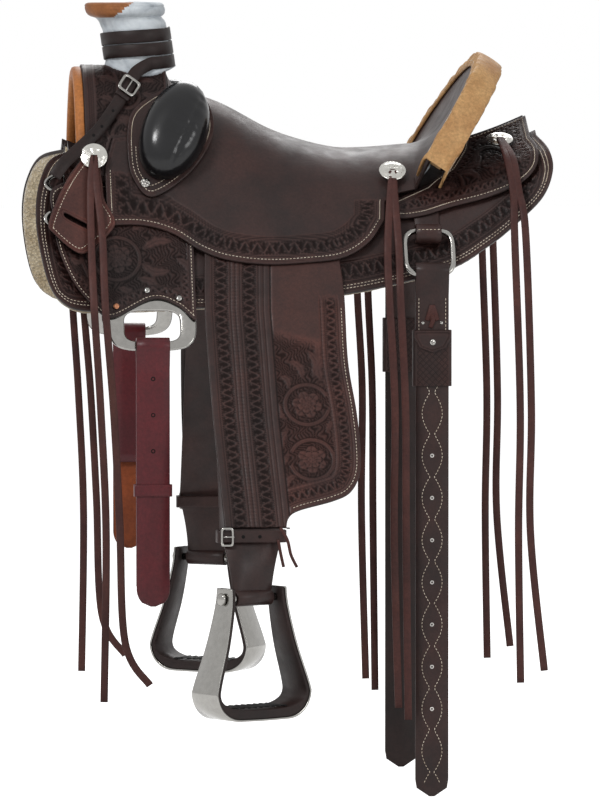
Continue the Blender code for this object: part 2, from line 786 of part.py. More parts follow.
def build_horn_buckle(path, ways, wound):
    """The buckle lies on the strap's run, its tongue across the frame."""
    first, second = path[wound + 1], path[wound + 2]
    run = (second - first).normalized()
    across = (ways[wound + 1] - run * ways[wound + 1].dot(run)).normalized()
    out = run.cross(across).normalized()
    if out.y > 0:
        out = -out
    centre = first + out * (STRAP_THICK / 2 + 0.0022 + GAP)
    work = frame_on(centre, run, out, 0.026, 0.027, 0.0035, 0.003)
    frame = from_bmesh("horn_buckle", work, "steel")
    tongue = rod("tongue", centre - run * 0.0115, centre + run * 0.0115, 0.0014, 6)
    cut_by(frame, tongue, "UNION")


# Seat

SEAT_CUTS_U = [-0.155, -0.13, -0.105, -0.08, -0.05, -0.01, 0.03, 0.075]
DISH_CUTS = [DISH_START + DISH_RUN * part for part in (0, 0.14, 0.28, 0.42, 0.56, 0.7, 0.84)]
SEAT_CUTS_V = [DISH_WIDTH * part / DISH_PARTS for part in range(1, DISH_PARTS + 1)] + [0.86, 1.0]


def seat_outline():
    """Half of the seat's outline as (u, v), from the centre at the front round to the centre of the rim."""
    lower = [(x, 1 + (down_back(x, z, SEAT_IN) - SHOULDER) / 0.1) for x, z in curve_through(JOCKEY_EDGE, 2)]
    front = FORK_REAR + GAP + 0.0005
    return (
        [(front, 0.0), (front, 0.56), (-0.215, 0.60), (-0.262, 0.64), (-0.274, 0.80)]
        + lower
        + [(0.1015, 0.83), (0.116, 0.75), (DISH_START, DISH_WIDTH), (DISH_START + DISH_RUN, DISH_WIDTH)]
    )


def build_seat():
    half = seat_outline()
    outline = half + [(u, -v) for u, v in reversed(half[1:])]
    end = (DISH_START + DISH_RUN, 0.0)
    outline.insert(len(half), end)
    cuts_v = SEAT_CUTS_V + [-v for v in SEAT_CUTS_V] + [0.0]
    cuts_u = SEAT_CUTS_U + DISH_CUTS + cuts_inside(RISE_CUTS, -0.274, 0.14)
    sheet("seat", outline, on_seat, 0.0, JOCKEY, cuts_u, cuts_v, "leather")

    ground = [(-0.150, -0.70), (0.130, -0.62), (0.176, -0.55), (0.176, 0.55), (0.130, 0.62), (-0.150, 0.70)]
    sheet(
        "ground_seat", ground, on_seat, -GROUND_SEAT - CURVED_GAP, -CURVED_GAP,
        SEAT_CUTS_U[1:] + DISH_CUTS[:2], [-0.48, -0.24, 0.0, 0.24, 0.48], "hide",
    )


def build_cantle():
    first = DISH_START + DISH_RUN * BOARD_LOW
    last = DISH_START + DISH_RUN * BOARD_HIGH
    wide = DISH_WIDTH * BOARD_SHARE
    board = [(first, -wide), (last, -wide), (last, wide), (first, wide)]
    cuts_v = [DISH_WIDTH * part / DISH_PARTS for part in range(-5, 6)]
    tree = sheet(
        "tree_cantle", board, on_seat, -CANTLE_BOARD - CURVED_GAP, -CURVED_GAP, DISH_CUTS[3:], cuts_v, "wood",
    )
    depth = CANTLE_BOARD + 2 * CURVED_GAP
    cover = sheet("cantle_back", board, on_seat, -depth - CANTLE_BACK, -depth, DISH_CUTS[3:], cuts_v, "leather")

    inner_stations = [DISH_WIDTH * part / DISH_PARTS for part in range(1 - DISH_PARTS, DISH_PARTS)]
    stations = [-BINDING_END] + inner_stations + [BINDING_END]
    front = JOCKEY + CURVED_GAP
    back = -depth - CANTLE_BACK - 2 * CURVED_GAP
    binding = binding_body("cantle_binding", front, back, stations, 0.0)
    for piece in (tree, cover):
        cut_by(piece, binding_body("binding_room", front, back, stations, GAP))
    return binding


def binding_body(name, front, back, stations, spread):
    """The channel of leather over the cantle's rim, or the room that it needs."""
    low = -BINDING_DEPTH - spread
    inner_front, inner_back, roof = front - spread, back + spread, CURVED_GAP - spread
    outer_front, outer_back = front + BINDING + spread, back - BINDING - spread
    shoulder, top = BINDING * 0.4 + spread, BINDING + spread
    section_points = [
        (inner_front, low), (inner_front, roof), (inner_back, roof), (inner_back, low), (outer_back, low),
        (outer_back, shoulder), (back, top), (front, top), (outer_front, shoulder), (outer_front, low),
    ]
    rings = [[on_rim(v, out, up) for out, up in section_points] for v in stations]
    return from_bmesh(name, loft(rings), "tan")


def on_rim(v, out, up):
    """A point near the cantle's rim: out along the dish's normal, up beyond the rim."""
    if up < 0:
        length = (dish(1, v) - dish(0.8, v)).length / 0.2
        return on_seat(DISH_START + DISH_RUN * (1 + up / length), v, out)
    place = on_seat(DISH_START + DISH_RUN, v, 0)
    normal = on_seat(DISH_START + DISH_RUN, v, 1) - place
    below = dish(1 - 0.02, v)
    rise = (place - below)
    rise = (rise - normal * rise.dot(normal)).normalized()
    return place + normal * out + rise * up


# Skirts and their kin

def build_sides():
    channel = [(SKIRT_EDGE[-1][0], 0.004), (SKIRT_EDGE[0][0], 0.004)]
    for side, name in SIDES:
        side_sheet(f"skirt_{name}", SKIRT_EDGE, SKIRT_IN, SKIRT_IN + SKIRT, side, "leather", top=channel)
        side_sheet(f"fleece_{name}", SKIRT_EDGE, 0.0, FLEECE, side, "fleece", top=channel, level=SKIRT_IN,
                   inset=FLEECE_INSET)
        side_sheet(f"rear_jockey_{name}", REAR_JOCKEY_EDGE, PLATE_IN, PLATE_IN + PLATE, side, "leather",
                   top=REAR_JOCKEY_TOP)
        side_sheet(f"rigging_plate_{name}", RIGGING_EDGE, PLATE_IN, PLATE_IN + PLATE, side, "leather")


def flat_ring(name, outer, inner, side, clear=0.0):
    """A flat metal ring in the layer between the skirt and the plate: outer and inner have as many points."""
    rings = []
    for (x, z), (p, q) in zip(outer, inner):
        low = UNDER_IN + clear
        high = UNDER_IN + STRAP - clear
        t = down_back(x, z, low)
        s = down_back(p, q, low)
        rings.append([
            on_back(x, t, low, side), on_back(x, t, high, side),
            on_back(p, s, high, side), on_back(p, s, low, side),
        ])
    return from_bmesh(name, loft(rings, closed=True), "steel")


def rigging_outline(count, inset, top, flatten):
    """Half round below and flat above, as the rigging ring's plate is."""
    points = []
    half = RIGGING_RING_HALF - inset
    bottom = RIGGING_RING_BOTTOM + inset
    middle = (top + bottom) / 2
    for i in range(count):
        turn = 2 * math.pi * i / count
        c, s = math.cos(turn), math.sin(turn)
        reach = (abs(c) ** flatten + abs(s) ** flatten) ** (-1 / flatten)
        points.append((RIGGING_RING_X + half * reach * c, middle + (top - bottom) / 2 * reach * s))
    return points


def build_rings():
    for side, name in SIDES:
        outer = rigging_outline(24, 0, RIGGING_RING_TOP, 3.6)
        inner = rigging_outline(24, RIGGING_BAR, RIGGING_HOLE_TOP, 4.0)
        inner = [(RIGGING_RING_X + (x - RIGGING_RING_X) * 0.78, z) for x, z in inner]
        flat_ring(f"rigging_ring_{name}", outer, inner, side)
        flat_ring(f"breast_dee_{name}", *dee_outline(-0.336, 0.000, 0.012), side)
    flat_ring("strap_dee_left", *dee_outline(-0.332, 0.047, 0.013), NEAR, 0.0013)


def dee_outline(x, z, half):
    """A dee whose straight bar stands at x, its bow towards the front."""
    outer = []
    inner = []
    for reach, points in ((half, outer), (half - DEE_WIDTH, inner)):
        for i in range(9):
            turn = math.pi / 2 + math.pi * i / 8
            points.append((x + 1.9 * reach * math.cos(turn), z + reach * math.sin(turn)))
        points.append((x + (half - reach) * 0.6 + 0.004, z - reach))
        points.append((x + (half - reach) * 0.6 + 0.004, z + reach))
    shift = DEE_WIDTH
    inner = [(p - (shift if i > 8 else 0), q) for i, (p, q) in enumerate(inner)]
    return outer, inner


def build_latigo_holder():
    points = curve_through(HOLDER_EDGE, 2, closed=True)
    outline = [(x, -down_section(x, z, FORK_HEIGHT, FORK_FLAT)) for x, z in points]
    start = JOCKEY + CURVED_GAP
    holder = sheet(
        "latigo_holder", outline, fork_side, start, start + HOLDER,
        cuts_inside(RISE_CUTS, -0.352, -0.263), [-0.72, -0.86, -1.0], "leather",
    )
    v = -down_section(HOLDER_SLOT_X, HOLDER_SLOT_Z, FORK_HEIGHT, FORK_FLAT)
    centre = fork_side(HOLDER_SLOT_X, v, start)
    out = (fork_side(HOLDER_SLOT_X, v, start + 0.01) - centre).normalized()
    cut_by(holder, from_bmesh("slot", slab(
        centre, Vector((1, 0, 0)), out, HOLDER_SLOT_LENGTH, HOLDER_SLOT_WIDTH, 0.03), "leather"))


def slab(centre, long_way, out, length, width, thick):
    across = out.cross(long_way).normalized()
    rings = []
    for level in (-thick / 2, thick / 2):
        rings.append([
            centre + long_way * a + across * b + out * level
            for a, b in ((-length / 2, -width / 2), (length / 2, -width / 2), (length / 2, width / 2),
                         (-length / 2, width / 2))
        ])
    return loft(rings)


# Bucking rolls

def build_rolls():
    start = JOCKEY + CURVED_GAP
    points = curve_through(ROLL_BASE_EDGE, 2, closed=True)
    for side, name in SIDES:
        outline = [(x, down_section(x, z, FORK_HEIGHT, FORK_FLAT)) for x, z in points]

        def place(x, v, out):
            point = fork_side(x, v, out)
            return Vector((point.x, side * point.y, point.z))

        sheet(
            f"roll_base_{name}", outline, place, start, start + ROLL_BASE,
            [-0.215, -0.185, -0.155], [0.30, 0.40, 0.50, 0.60, 0.70, 0.80], "leather",
        )
        rings = []
        foot = start + ROLL_BASE + GAP
        for scale, rise in ROLL_PROFILE:
            ring = []
            for i in range(20):
                turn = 2 * math.pi * i / 20
                a = ROLL_LONG * math.cos(turn) * scale
                b = ROLL_SHORT * math.sin(turn) * scale
                x = ROLL_CENTRE[0] + a * math.cos(ROLL_TILT) - b * math.sin(ROLL_TILT)
                z = ROLL_CENTRE[1] + a * math.sin(ROLL_TILT) + b * math.cos(ROLL_TILT)
                v = down_section(x, z, FORK_HEIGHT, FORK_FLAT)
                drawn = 0.0 if rise == 0 else ROLL_HEIGHT * rise
                ring.append(place(x, v, foot + 0.0012 + drawn))
            rings.append(ring)
        from_bmesh(f"bucking_roll_{name}", loft(rings), "black")


# Hanging straps

def hung_strap(name, x, pivot, side, look, length, width, loop, tail=0.0, drop=0.0):
    """A strap doubled over a bar: seen from its edge it is a loop at the top with two runs below."""
    outer = loop + BILLET_THICK
    close = LOOP_CLOSE
    profile_out = []
    profile_in = []
    for i in range(9):
        turn = math.pi * i / 8
        profile_out.append((outer * math.cos(turn), drop + outer * math.sin(turn)))
        profile_in.append((loop * math.cos(turn), drop + loop * math.sin(turn)))
    profile_out.append((-close - BILLET_THICK, -LOOP_FOOT))
    profile_out.append((-close - BILLET_THICK, -length + tail))
    back_end = (-close, -length + tail)
    profile_in.append((-close, 0.002 - LOOP_FOOT))
    front_join = (close, 0.002 - LOOP_FOOT)
    points = (
        [(outer, drop)] + profile_out[1:] + [back_end] + [profile_in[-1]] + list(reversed(profile_in[1:-1]))
        + [(loop, drop), front_join, (close, -length), (close + BILLET_THICK, -length),
           (close + BILLET_THICK, -LOOP_FOOT)]
    )
    rings = []
    for end in (-width / 2, width / 2):
        rings.append([
            Vector((x + end, pivot.y + side * a, pivot.z + b)) for a, b in points
        ])
    work = loft(rings)
    return from_bmesh(name, work, look)


def ring_bar(side):
    """The middle of the rigging ring's lower bar, which the latigo hangs on."""
    z = RIGGING_RING_BOTTOM + RIGGING_BAR / 2
    t = down_back(RIGGING_RING_X, z, UNDER_IN + STRAP / 2)
    return on_back(RIGGING_RING_X, t, UNDER_IN + STRAP / 2, side)


def build_latigos():
    for name, side, length, tail in (
        ("latigo", NEAR, LATIGO_LENGTH, LATIGO_TAIL), ("off_billet", FAR, OFF_BILLET_LENGTH, OFF_BILLET_TAIL),
    ):
        hung_strap(
            name, RIGGING_RING_X, ring_bar(side), side, "latigo", length, BILLET_WIDTH, LATIGO_BORE, tail=tail,
        )


def side_frame(x, z, d, side):
    """A point on the flat side with the directions down it and out from it."""
    t = down_back(x, z, d)
    centre = on_back(x, t, d, side)
    down = Vector((0, side * math.cos(SIDE_ANGLE), -math.sin(SIDE_ANGLE)))
    out = Vector((0, side * math.sin(SIDE_ANGLE), math.cos(SIDE_ANGLE)))
    return centre, down, out


def build_rear_rig():
    for side, name in SIDES:
        level = UNDER_IN + HANGER_BORE + HANGER_WALL + 2 * GAP
        centre, down, out = side_frame(REAR_RING_X, REAR_RING_Z, level, side)
        rings = []
        count = 24
        for i in range(count):
            turn = 2 * math.pi * i / count
            away = Vector((1, 0, 0)) * math.cos(turn) - down * math.sin(turn)
            square = (math.cos(turn) ** 4 + math.sin(turn) ** 4) ** (-1 / 4)
            rings.append(circle(centre + away * (REAR_RING_RADIUS * square), REAR_RING_WIRE, away, out, 6))
        from_bmesh(f"rear_ring_{name}", loft(rings, closed=True), "steel")
        build_hanger(name, centre - down * (REAR_RING_RADIUS - HANGER_DROP), down, out, side)
        bottom = centre + down * REAR_RING_RADIUS
        hung_strap(f"flank_billet_{name}", BILLET_X, bottom, side, "leather", FLANK_LENGTH,
                   BILLET_WIDTH, LOOP_BORE, tail=FLANK_TAIL, drop=0.003)
        build_flank_keeper(name, bottom, side)


def build_hanger(name, middle, down, out, side):
    """A leather loop over the rear ring, its tail lying on the skirt under the rear jockey."""
    outer = HANGER_BORE + HANGER_WALL
    points = []
    for radius, turns in ((outer, range(17)), (HANGER_BORE, range(16, -1, -1))):
        for i in turns:
            turn = math.radians(-165 + 320 * i / 16)
            points.append(out * (radius * math.cos(turn)) - down * (radius * math.sin(turn)))
    rings = []
    for end in (-HANGER_WIDTH / 2, HANGER_WIDTH / 2):
        rings.append([middle + point + Vector((end, 0, 0)) for point in points])
    loop = from_bmesh(f"rear_hanger_{name}", loft(rings), "leather")
    low, high = REAR_RING_X - HANGER_WIDTH / 2 + GAP, REAR_RING_X + HANGER_WIDTH / 2 - GAP
    foot = down_back(REAR_RING_X, middle.z, UNDER_IN)
    tail = sheet(
        "tail", [(low, foot), (high, foot), (high, foot - 0.040), (low, foot - 0.040)],
        lambda x, t, d: on_back(x, t, d, side), UNDER_IN, UNDER_IN + STRAP,
        cuts_inside(RISE_CUTS, low, high), cuts_inside(BEND_CUTS, foot - 0.040, foot), "leather",
    )
    cut_by(loop, tail, "UNION")


def build_flank_keeper(name, bottom, side):
    """A sleeve round the billet's doubled part."""
    half = BILLET_WIDTH / 2 + CURVED_GAP
    deep = BILLET_THICK + LOOP_CLOSE + CURVED_GAP
    wall = KEEPER_WALL
    rings = []
    for level in (-KEEPER_TOP, -KEEPER_BOTTOM):
        ring_out = [(-half - wall, -deep - wall), (half + wall, -deep - wall), (half + wall, deep + wall),
                    (-half - wall, deep + wall)]
        ring_in = [(-half, -deep), (half, -deep), (half, deep), (-half, deep)]
        rings.append([[
            Vector((BILLET_X + a, bottom.y + side * b, bottom.z + level)) for a, b in ring
        ] for ring in (ring_out, ring_in)])
    sleeve = hollow_loft([rings[0][0], rings[1][0]], [rings[0][1], rings[1][1]])
    from_bmesh(f"flank_keeper_{name}", sleeve, "leather")


# Strings and conchos

def concho(name, centre, out, radius):
    profile = [(0.0, 1.0), (0.35, 0.98), (0.7, 0.92), (1.0, 0.62), (1.0, 0.25), (0.45, 0.0)]
    across = out.orthogonal().normalized()
    up = out.cross(across)
    rings = [
        circle(centre + out * (CONCHO_THICK * height), max(radius, 0.001), across, up, 16)
        for height, radius in ((h, radius * share) for h, share in profile)
    ]
    return from_bmesh(name, loft(rings), "steel")


STRING_ROUTES = {
    "front": ((-0.289, 0.0775), [(-0.291, 0.040), (-0.289, -0.030), (-0.288, -0.130)],
              [(-0.287, -0.250), (-0.280, -0.420), (-0.283, -0.640)],
              [(-0.270, -0.250), (-0.262, -0.400), (-0.255, -0.560), (-0.222, -0.618)]),
    "middle": ((0.114, 0.052), [(0.110, 0.010), (0.108, -0.050), (0.107, -0.110)],
               [(0.107, -0.250), (0.106, -0.420), (0.112, -0.652)],
               [(0.121, -0.250), (0.122, -0.420), (0.125, -0.668)]),
    "rear": ((0.265, 0.0955), [(0.272, 0.070), (0.276, 0.030), (0.278, -0.030)],
             [(0.278, -0.250), (0.276, -0.420), (0.279, -0.622)],
             [(0.293, -0.250), (0.292, -0.420), (0.311, -0.606)]),
}


def build_strings():
    for place_name, (head, drape, tail_a, tail_b) in STRING_ROUTES.items():
        for side, name in SIDES:
            build_string(place_name, name, side, head, drape, tail_a, tail_b)


def seat_spot(x, z, out, side):
    """A point over the outermost leather at this place, seen from the side."""
    if x > 0.2:
        t = down_back(x, z, PLATE_IN + PLATE)
        return on_back(x, t, PLATE_IN + PLATE + out, side)
    crown = FORK_HEIGHT if x < FORK_REAR else None
    flat = FORK_FLAT if x < FORK_REAR else None
    v = down_section(x, z, crown, flat)
    return section(x, side * v, out + JOCKEY, crown, flat)


def build_string(place_name, name, side, head, drape, tail_a, tail_b):
    lift_off = HOLDER + 3 * CURVED_GAP
    start = seat_spot(head[0], head[1], lift_off + CONCHO_SEAT, side)
    ahead = seat_spot(head[0], head[1], lift_off + 0.01, side)
    out = (ahead - start).normalized()
    disc = concho(f"string_{place_name}_{name}", start, out, CONCHO_RADIUS)
    hang = max(abs(seat_spot(x, z, lift_off + 0.006, side).y) for x, z in drape)
    shift = THONG_WIDTH * 0.75
    tails = []
    for tail, sign in ((tail_a, -1), (tail_b, 1)):
        points = [start + out * 0.003]
        for x, z in drape:
            spot = seat_spot(x, z, lift_off + 0.006, side)
            points.append(Vector((spot.x + sign * shift * (0.5 if spot.z > 0 else 1.0), spot.y, spot.z)))
        for x, z in tail:
            points.append(Vector((x, side * (hang + 0.002), z)))
        tails.append(points)
    for points in tails:
        smooth = [Vector(point) for point in curve_through([tuple(point) for point in points], 2)]
        ways = [Vector((1, 0, 0)) for _ in smooth]
        thong = from_bmesh("thong", loft(ribbon(smooth, ways, THONG_WIDTH, THONG_THICK)), "leather")
        cut_by(disc, thong, "UNION")


# Fenders and stirrups

def build_fenders():
    for side, name in SIDES:
        points = curve_through(FENDER_EDGE, 2, closed=True)
        low_edge = [(x, down_back(x, z, PLATE_IN)) for x, z in points]
        sheet(
            f"fender_{name}", low_edge, lambda x, t, d: flat_side(x, t, d, side), PLATE_IN, PLATE_IN + PLATE,
            [], [], "leather",
        )
        build_stirrup_leather(side, name)
        build_hobble_strap(side, name)
        build_stirrup(side, name)


def flat_side(x, t, d, side):
    """The flat part of the side, without the rise towards the ends."""
    y, z, angle = back_line(t)
    return Vector((x, side * (y + d * math.sin(angle)), z + d * math.cos(angle)))


def bolt_centre(side):
    t = down_back(BOLT_X, DROP_START, UNDER_IN + STRAP / 2)
    edge = flat_side(BOLT_X, t, UNDER_IN + STRAP / 2, side)
    return Vector((BOLT_X, edge.y + side * NECK_REACH, BOLT_Z))


def build_stirrup_leather(side, name):
    """The strap behind the fender: flat, then a neck that drops and turns to meet the bolt."""
    middle = LEATHER_LEFT + LEATHER_WIDTH / 2
    d = UNDER_IN + STRAP / 2
    levels = [LEATHER_TOP, -0.20, DROP_START + 0.03, DROP_START]
    path = [flat_side(middle, down_back(middle, z, d), d, side) for z in levels]
    ways = [Vector((1, 0, 0))] * len(levels)
    widths = [LEATHER_WIDTH] * len(levels)
    bolt = bolt_centre(side)
    last = path[-1]
    for part in (0.25, 0.5, 0.75, 1.0):
        bend = 1 - (1 - part) ** 2
        place = Vector((
            last.x + (bolt.x - last.x) * part,
            last.y + (bolt.y - last.y) * bend,
            last.z + (bolt.z - last.z) * part,
        ))
        path.append(place)
        turn = STIRRUP_TURN * part * (-side)
        ways.append(Vector((math.cos(turn), math.sin(turn), 0)))
        widths.append(LEATHER_WIDTH + (NECK_WIDTH - LEATHER_WIDTH) * min(1, part * 1.6))
    rings = []
    for i, (point, way, width) in enumerate(zip(path, ways, widths)):
        before = path[max(i - 1, 0)]
        after = path[min(i + 1, len(path) - 1)]
        run = (after - before).normalized()
        across = (way - run * way.dot(run)).normalized() * (width / 2)
        thick = STRAP if i <= len(levels) else STRAP * 1.5
        out = run.cross(across).normalized() * (thick / 2)
        rings.append([point - across - out, point + across - out, point + across + out, point - across + out])
    leather = from_bmesh(f"stirrup_leather_{name}", loft(rings), "leather")
    way = ways[-1]
    half = NECK_WIDTH / 2
    sleeve = rod("sleeve", bolt - way * half, bolt + way * half, BOLT_RADIUS + 0.0055, 16, "leather")
    cut_by(leather, sleeve, "UNION")
    bore = rod("bore", bolt - way * 0.06, bolt + way * 0.06, BOLT_RADIUS + GAP, 14, "leather")
    cut_by(leather, bore)


def build_hobble_strap(side, name):
    """A narrow strap buckled round the stirrup leather just under the fender."""
    middle = LEATHER_LEFT + LEATHER_WIDTH / 2
    d = UNDER_IN + STRAP / 2
    centre = flat_side(middle, down_back(middle, DROP_START + 0.004, d), d, side)
    bolt = bolt_centre(side)
    part = (DROP_START - HOBBLE_Z) / (DROP_START - BOLT_Z)
    bend = 1 - (1 - part) ** 2
    place = Vector((
        centre.x + (bolt.x - centre.x) * part,
        centre.y + (bolt.y - centre.y) * bend,
        HOBBLE_Z,
    ))
    turn = STIRRUP_TURN * part * (-side)
    way = Vector((math.cos(turn), math.sin(turn), 0))
    out = Vector((-math.sin(turn), math.cos(turn), 0))
    half = LEATHER_WIDTH / 2 + HOBBLE_ROOM
    deep = HOBBLE_DEEP
    wall = HOBBLE_WALL
    loops = []
    for grow in (wall, 0.0):
        corners = ((-half - grow, -deep - grow), (half + grow, -deep - grow), (half + grow, deep + grow),
                   (-half - grow, deep + grow))
        loops.append([
            [place + way * a + out * b + Vector((0, 0, level)) for a, b in corners]
            for level in (-HOBBLE_WIDTH / 2, HOBBLE_WIDTH / 2)
        ])
    from_bmesh(f"hobble_strap_{name}", hollow_loft(loops[0], loops[1]), "leather")


def stirrup_path(inset, foot_inset):
    """The stirrup's hoop seen from the front: down one arm, round the foot and up the other."""
    top = STIRRUP_TOP_HALF - inset
    foot = STIRRUP_FOOT_HALF - inset
    low = -STIRRUP_DROP + foot_inset
    side_line = [(top, STIRRUP_RISE), (top + 0.002, -0.012), (top + (foot - top) * 0.42, -0.062),
                 (foot - 0.002, -0.112), (foot, -0.128), (foot - 0.008, -0.146 + foot_inset * 0.6),
                 (foot - 0.026, low)]
    return side_line, low


def hoop(inset, foot_inset, thick, foot_thick, depth_top, depth_foot):
    """Rings of a band bent to the hoop: thick at the arms and foot, its depth growing downwards."""
    outer, _ = stirrup_path(inset, foot_inset)
    inner, _ = stirrup_path(inset + thick, foot_inset + foot_thick)
    half = []
    for (a, b), (c, d) in zip(outer, inner):
        share = min(1, max(0, (0.02 - b) / 0.15))
        depth = depth_top + (depth_foot - depth_top) * share
        half.append((a, b, c, d, depth))
    half.append((FOOT_FLAT, outer[-1][1] - 0.002, FOOT_FLAT, inner[-1][1] - 0.002, depth_foot))
    full = half + [(-a, b, -c, d, depth) for a, b, c, d, depth in reversed(half)]
    return [
        [(a, -depth / 2, b), (a, depth / 2, b), (c, depth / 2, d), (c, -depth / 2, d)]
        for a, b, c, d, depth in full
    ]


def build_stirrup(side, name):
    bolt = bolt_centre(side)
    turn = STIRRUP_TURN * (-side)
    frame = Matrix.Translation(bolt) @ Matrix.Rotation(turn, 4, "Z")

    def placed(rings):
        return [[frame @ Vector(point) for point in ring] for ring in rings]

    hoop_rings = placed(hoop(0, 0, METAL, METAL, ARM_DEPTH, FOOT_DEPTH))
    metal = from_bmesh(f"stirrup_{name}", loft(hoop_rings), "steel")
    lining = loft(placed(hoop(METAL + GAP, METAL + GAP, LINING, TREAD, ARM_DEPTH - 0.002, FOOT_DEPTH - 0.002)))
    tread = from_bmesh(f"tread_{name}", lining, "leather")
    way = frame.to_3x3() @ Vector((1, 0, 0))
    reach = STIRRUP_TOP_HALF + 0.006
    for body in (metal, tread):
        cut_by(body, rod("hole", bolt - way * 0.09, bolt + way * 0.09, BOLT_RADIUS + GAP, 14))
    bolt_rod = rod(f"stirrup_bolt_{name}", bolt - way * reach, bolt + way * reach, BOLT_RADIUS, 14)
    for sign in (-1, 1):
        head = rod(
            "head", bolt + way * (sign * (STIRRUP_TOP_HALF + 0.0025)), bolt + way * (sign * (reach + 0.001)),
            BOLT_RADIUS + 0.003, 14,
        )
        cut_by(bolt_rod, head, "UNION")


build_tree()
build_fork_cover()
build_gullet_trim()
build_horn()
build_horn_buckle(*build_horn_strap())
build_seat()
build_cantle()
build_sides()
build_rings()
build_latigo_holder()
build_rolls()
build_latigos()
build_rear_rig()
build_strings()
build_fenders()
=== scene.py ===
"""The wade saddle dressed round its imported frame: tooled leather, stitching, hide, fleece and steel."""

import math

import bpy
import numpy as np
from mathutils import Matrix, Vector
from mathutils.geometry import delaunay_2d_cdt


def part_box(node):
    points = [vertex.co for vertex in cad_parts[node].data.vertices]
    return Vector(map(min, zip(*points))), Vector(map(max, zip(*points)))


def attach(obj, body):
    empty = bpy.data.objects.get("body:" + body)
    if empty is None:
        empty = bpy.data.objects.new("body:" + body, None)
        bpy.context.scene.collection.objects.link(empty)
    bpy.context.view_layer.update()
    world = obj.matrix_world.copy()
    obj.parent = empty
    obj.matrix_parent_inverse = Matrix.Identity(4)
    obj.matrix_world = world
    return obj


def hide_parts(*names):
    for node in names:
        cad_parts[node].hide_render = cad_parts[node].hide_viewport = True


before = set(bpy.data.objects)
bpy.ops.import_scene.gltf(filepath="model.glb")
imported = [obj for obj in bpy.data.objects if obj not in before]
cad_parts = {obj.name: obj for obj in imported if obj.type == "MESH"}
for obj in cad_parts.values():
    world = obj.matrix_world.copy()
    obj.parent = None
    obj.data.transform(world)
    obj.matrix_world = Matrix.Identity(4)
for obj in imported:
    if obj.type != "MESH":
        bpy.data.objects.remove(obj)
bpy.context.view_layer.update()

# Sides of the horse: the near side faces the camera
NEAR = -1
FAR = 1
SIDES = ((NEAR, "left"), (FAR, "right"))

# Layers out from the horse, as in the frame
GAP = 0.0003
CURVED_GAP = 0.0008
FLEECE = 0.011
SKIRT = 0.005
STRAP = 0.004
PLATE = 0.004
JOCKEY = 0.0045
HOLDER = 0.0035
SKIRT_IN = FLEECE + GAP
UNDER_IN = SKIRT_IN + SKIRT + GAP
PLATE_IN = UNDER_IN + STRAP + GAP
PLATE_TOP = PLATE_IN + PLATE
SEAT_IN = PLATE_TOP + GAP

# The horse's back
CHANNEL_HALF = 0.035
CHANNEL_HEIGHT = 0.050
TOP_ANGLE = math.radians(25)
SIDE_ANGLE = math.radians(62)
TOP_RUN = 0.070
BEND_RUN = 0.050
SHOULDER = TOP_RUN + BEND_RUN
TURN_RATE = (SIDE_ANGLE - TOP_ANGLE) / BEND_RUN
LEVEL_FRONT = -0.185
LEVEL_REAR = 0.095
FRONT_RISE = 2.0
REAR_RISE = 1.1

# Fork, seat and cantle
FORK_FRONT = -0.299
FORK_REAR = -0.185
FORK_HEIGHT = 0.208
FORK_FLAT = 0.085
TRIM = 0.012
TRIM_BAND = 0.016
TRIM_END = 0.70
CROWN = [
    (-0.330, FORK_HEIGHT), (LEVEL_FRONT, FORK_HEIGHT), (LEVEL_FRONT + 0.0007, 0.196), (-0.173, 0.177),
    (-0.150, 0.1675), (-0.107, 0.152), (-0.037, 0.1156), (0.039, 0.0938), (0.083, 0.0925), (0.144, 0.097),
]
SEAT_FLAT = 0.095
SIDE_PULL = 0.45
DISH_START = 0.144
DISH_RUN = 0.110
DISH_WIDTH = 0.72
RIM_TOP = (0.249, 0.216)
RIM_END = (0.156, 0.070)
RIM_HALF = 0.158
CANTLE_BOARD = 0.018
CANTLE_BACK = 0.004
BINDING = 0.0035
BINDING_DEPTH = 0.020
METRES_PER_V = 0.22

# Horn and its strap
HORN_X = -0.220
HORN_LEAN = -0.145
HORN_TOP = 0.2885
CAP_RADIUS = 0.0535
CAP_THICK = 0.020
CAP_FORWARD = 0.010
POST_RADIUS = 0.029
WRAP_RADIUS = 0.044
STRAP_WIDTH = 0.0172
STRAP_THICK = 0.003
STRAP_TURNS = 2
STRAP_PITCH = 0.0185
STRAP_START_Z = 0.2475
STRAP_LEAVE = 72
STRAP_RUN = [
    (-0.2270, 0.1850, 0.012), (-0.239, 0.1690, 0.010), (-0.2545, 0.1480, 0.008), (-0.280, 0.1150, 0.009),
    (-0.309, 0.0875, 0.012), (-0.329, 0.0680, 0.016), (-0.343, 0.0520, 0.010),
]

# Outlines seen from the near side, as places along X and heights
SKIRT_EDGE = [
    (-0.318, 0.085), (-0.348, 0.074), (-0.364, 0.043), (-0.369, 0.004), (-0.365, -0.040), (-0.354, -0.085),
    (-0.339, -0.108), (-0.312, -0.121), (-0.250, -0.122), (-0.150, -0.119), (-0.020, -0.108), (0.076, -0.096),
    (0.184, -0.069), (0.239, -0.038), (0.279, -0.007), (0.314, 0.027), (0.329, 0.061), (0.327, 0.088),
    (0.316, 0.106),
]
RIGGING_EDGE = [
    (-0.345, 0.040), (-0.346, 0.000), (-0.340, -0.040), (-0.322, -0.082), (-0.298, -0.112), (-0.270, -0.131),
    (-0.215, -0.107), (-0.182, -0.116), (-0.157, -0.134), (-0.155, -0.090), (-0.156, -0.030), (-0.200, 0.014),
    (-0.290, 0.046),
]
JOCKEY_EDGE = [
    (-0.273, -0.010), (-0.226, -0.010), (-0.186, -0.021), (-0.150, -0.043), (-0.113, -0.056),
    (-0.061, -0.062), (-0.010, -0.060), (0.042, -0.0535), (0.078, -0.033), (0.100, -0.004),
]
